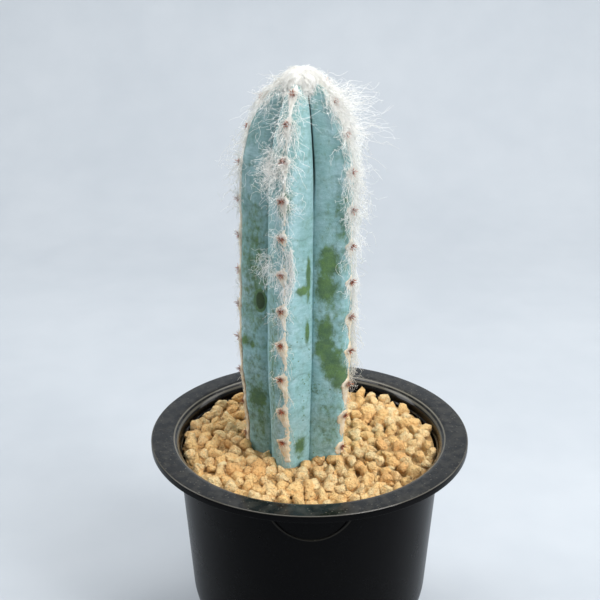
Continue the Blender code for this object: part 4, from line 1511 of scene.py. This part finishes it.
def makeStrands():
    tree = makeStrandTree()
    spineMaterial, hairMaterial = makeSpineMaterial(), makeHairMaterial()
    tufts = ["hair_tuft_front", "hair_tuft_left"]
    # name, roots, material, slot and the nodes it replaces
    plans = (
        ("spineClusters", spineRoots(), spineMaterial, "areole_felt", []),
        ("cordHair", cordRoots(), hairMaterial, "white_wool", []),
        ("areoleTufts", tuftRoots(), hairMaterial, "white_wool", []),
        ("crownHair", crownRoots(), hairMaterial, "white_wool", ["crown_wool"]),
        ("hairCurtains", patchRoots(hair["patches"]), hairMaterial, "white_wool", ["hair_curtain_right"]),
        ("hairCurls", patchRoots(hair["curls"]), hairMaterial, "white_wool", tufts),
        ("longThreads", threadRoots(), hairMaterial, "white_wool", []),
        ("looseLocks", lockRoots(), hairMaterial, "white_wool", []),
    )
    inputs = ("Points", "Thickness", "Taper", "Curl", "Curl Size", "Droop", "Stray")
    for name, roots, material, slot, nodes in plans:
        values = dict(zip(inputs, strands[name]))
        values |= {"Seed": 5, "Material": material}
        finishPiece(grow(name, tree, rootMesh(name, roots), values), material, nodes)


# stage, camera and lights

studio = {
    "width": 30.0,
    "front": -30.0,
    "back": 0.9,
    "bend": 0.35,
    "wall": 1.6,
    "paper": (srgb(176, 182, 188), srgb(186, 191, 196)),
    # name, place, target, width, height, power
    "lights": (
        ("keyLight", (0.72, -0.60, 0.95), (0, 0, 0.18), 0.6, 0.6, 13.8),
        ("leftPanel", (-0.85, 0.10, 0.55), (0, 0, 0.12), 0.35, 0.75, 3.6),
        ("rightPanel", (0.85, 0.20, 0.50), (0, 0, 0.10), 0.30, 0.75, 2.0),
        ("overhead", (0.1, 0.25, 1.3), (0, 0, 0.1), 1.2, 1.0, 8.6),
        ("highStrip", (0.0, 0.05, 1.15), (0, 0, 0.12), 1.3, 0.06, 3.0),
    ),
    "sky": (0.86, 0.93, 1.0, 1.0),
    "skyPower": 0.34,
    "lens": 75.1,
    "cameraPlace": (-0.0045, -0.527, potTop + 0.286),
    "cameraDip": 22.5,
}


def makeStage():
    width, front, back, bend, wall = (studio[key] for key in ("width", "front", "back", "bend", "wall"))
    profile = [(front, 0.0), (back - bend, 0.0)]
    for turn in np.linspace(0, math.pi / 2, 14)[1:]:
        profile.append((back - bend + bend * math.sin(turn), bend - bend * math.cos(turn)))
    profile.append((back, wall))
    points = [(x, y, z) for y, z in profile for x in (-width, width)]
    faces = [(2 * i, 2 * i + 1, 2 * i + 3, 2 * i + 2) for i in range(len(profile) - 1)]
    mesh = bpy.data.meshes.new("studioFloor")
    mesh.from_pydata(points, [], faces)
    mesh.shade_smooth()
    floor = linkObject("studioFloor", mesh)
    material, tree, shader, place = newMaterial("Pale paper", 0.75)
    cloud = addMottle(tree, place, 6.0, 0.2, 0.8)
    colour = mixColours(tree, cloud, *studio["paper"])
    tree.links.new(colour, shader.inputs["Base Color"])
    mesh.materials.append(material)


def addArea(name, place, target, width, height, power):
    data = bpy.data.lights.new(name, "AREA")
    data.shape = "RECTANGLE"
    data.size, data.size_y = width, height
    data.energy = power
    made = linkObject(name, data)
    made.location = place
    made.rotation_euler = (Vector(target) - Vector(place)).to_track_quat("-Z", "Y").to_euler()
    made.visible_camera = False


def makeLights():
    for light in studio["lights"]:
        addArea(*light)
    world = bpy.data.worlds.new("studio")
    world.use_nodes = True
    background = world.node_tree.nodes["Background"]
    background.inputs[0].default_value = studio["sky"]
    background.inputs[1].default_value = studio["skyPower"]
    bpy.context.scene.world = world
    bpy.context.scene.view_settings.view_transform = "Standard"


def makeCamera():
    data = bpy.data.cameras.new("camera")
    data.sensor_width = 36.0
    data.lens = studio["lens"]
    data.clip_start = 0.01
    made = linkObject("camera", data)
    made.location = studio["cameraPlace"]
    made.rotation_euler = (math.radians(90 - studio["cameraDip"]), 0, 0)
    bpy.context.scene.camera = made


areoleHeightList = [areoleHeights(rib) for rib in range(stem["ribs"])]

print("pot")
makePot(makePotMaterial())
print("stem")
makeStem(makeStemMaterial())
print("gravel")
stoneMaterial = makeStoneMaterial("Pumice stone", 0.0)
makeGravel(stoneMaterial, makeStoneMaterial("Pumice layer beneath, painted shade", gravel["beneathPaintedShade"]))
paintNode("potting_mix", makeCompostMaterial())
print("felt")
feltMaterial = makeFeltMaterial()
for ribNumber in range(stem["ribs"]):
    makeFeltStrip(ribNumber, feltMaterial)
print("wool, spines and hair")
makeWoolCap(makeWoolMaterial())
makeStrands()
print("stage")
makeStage()
makeLights()
makeCamera()
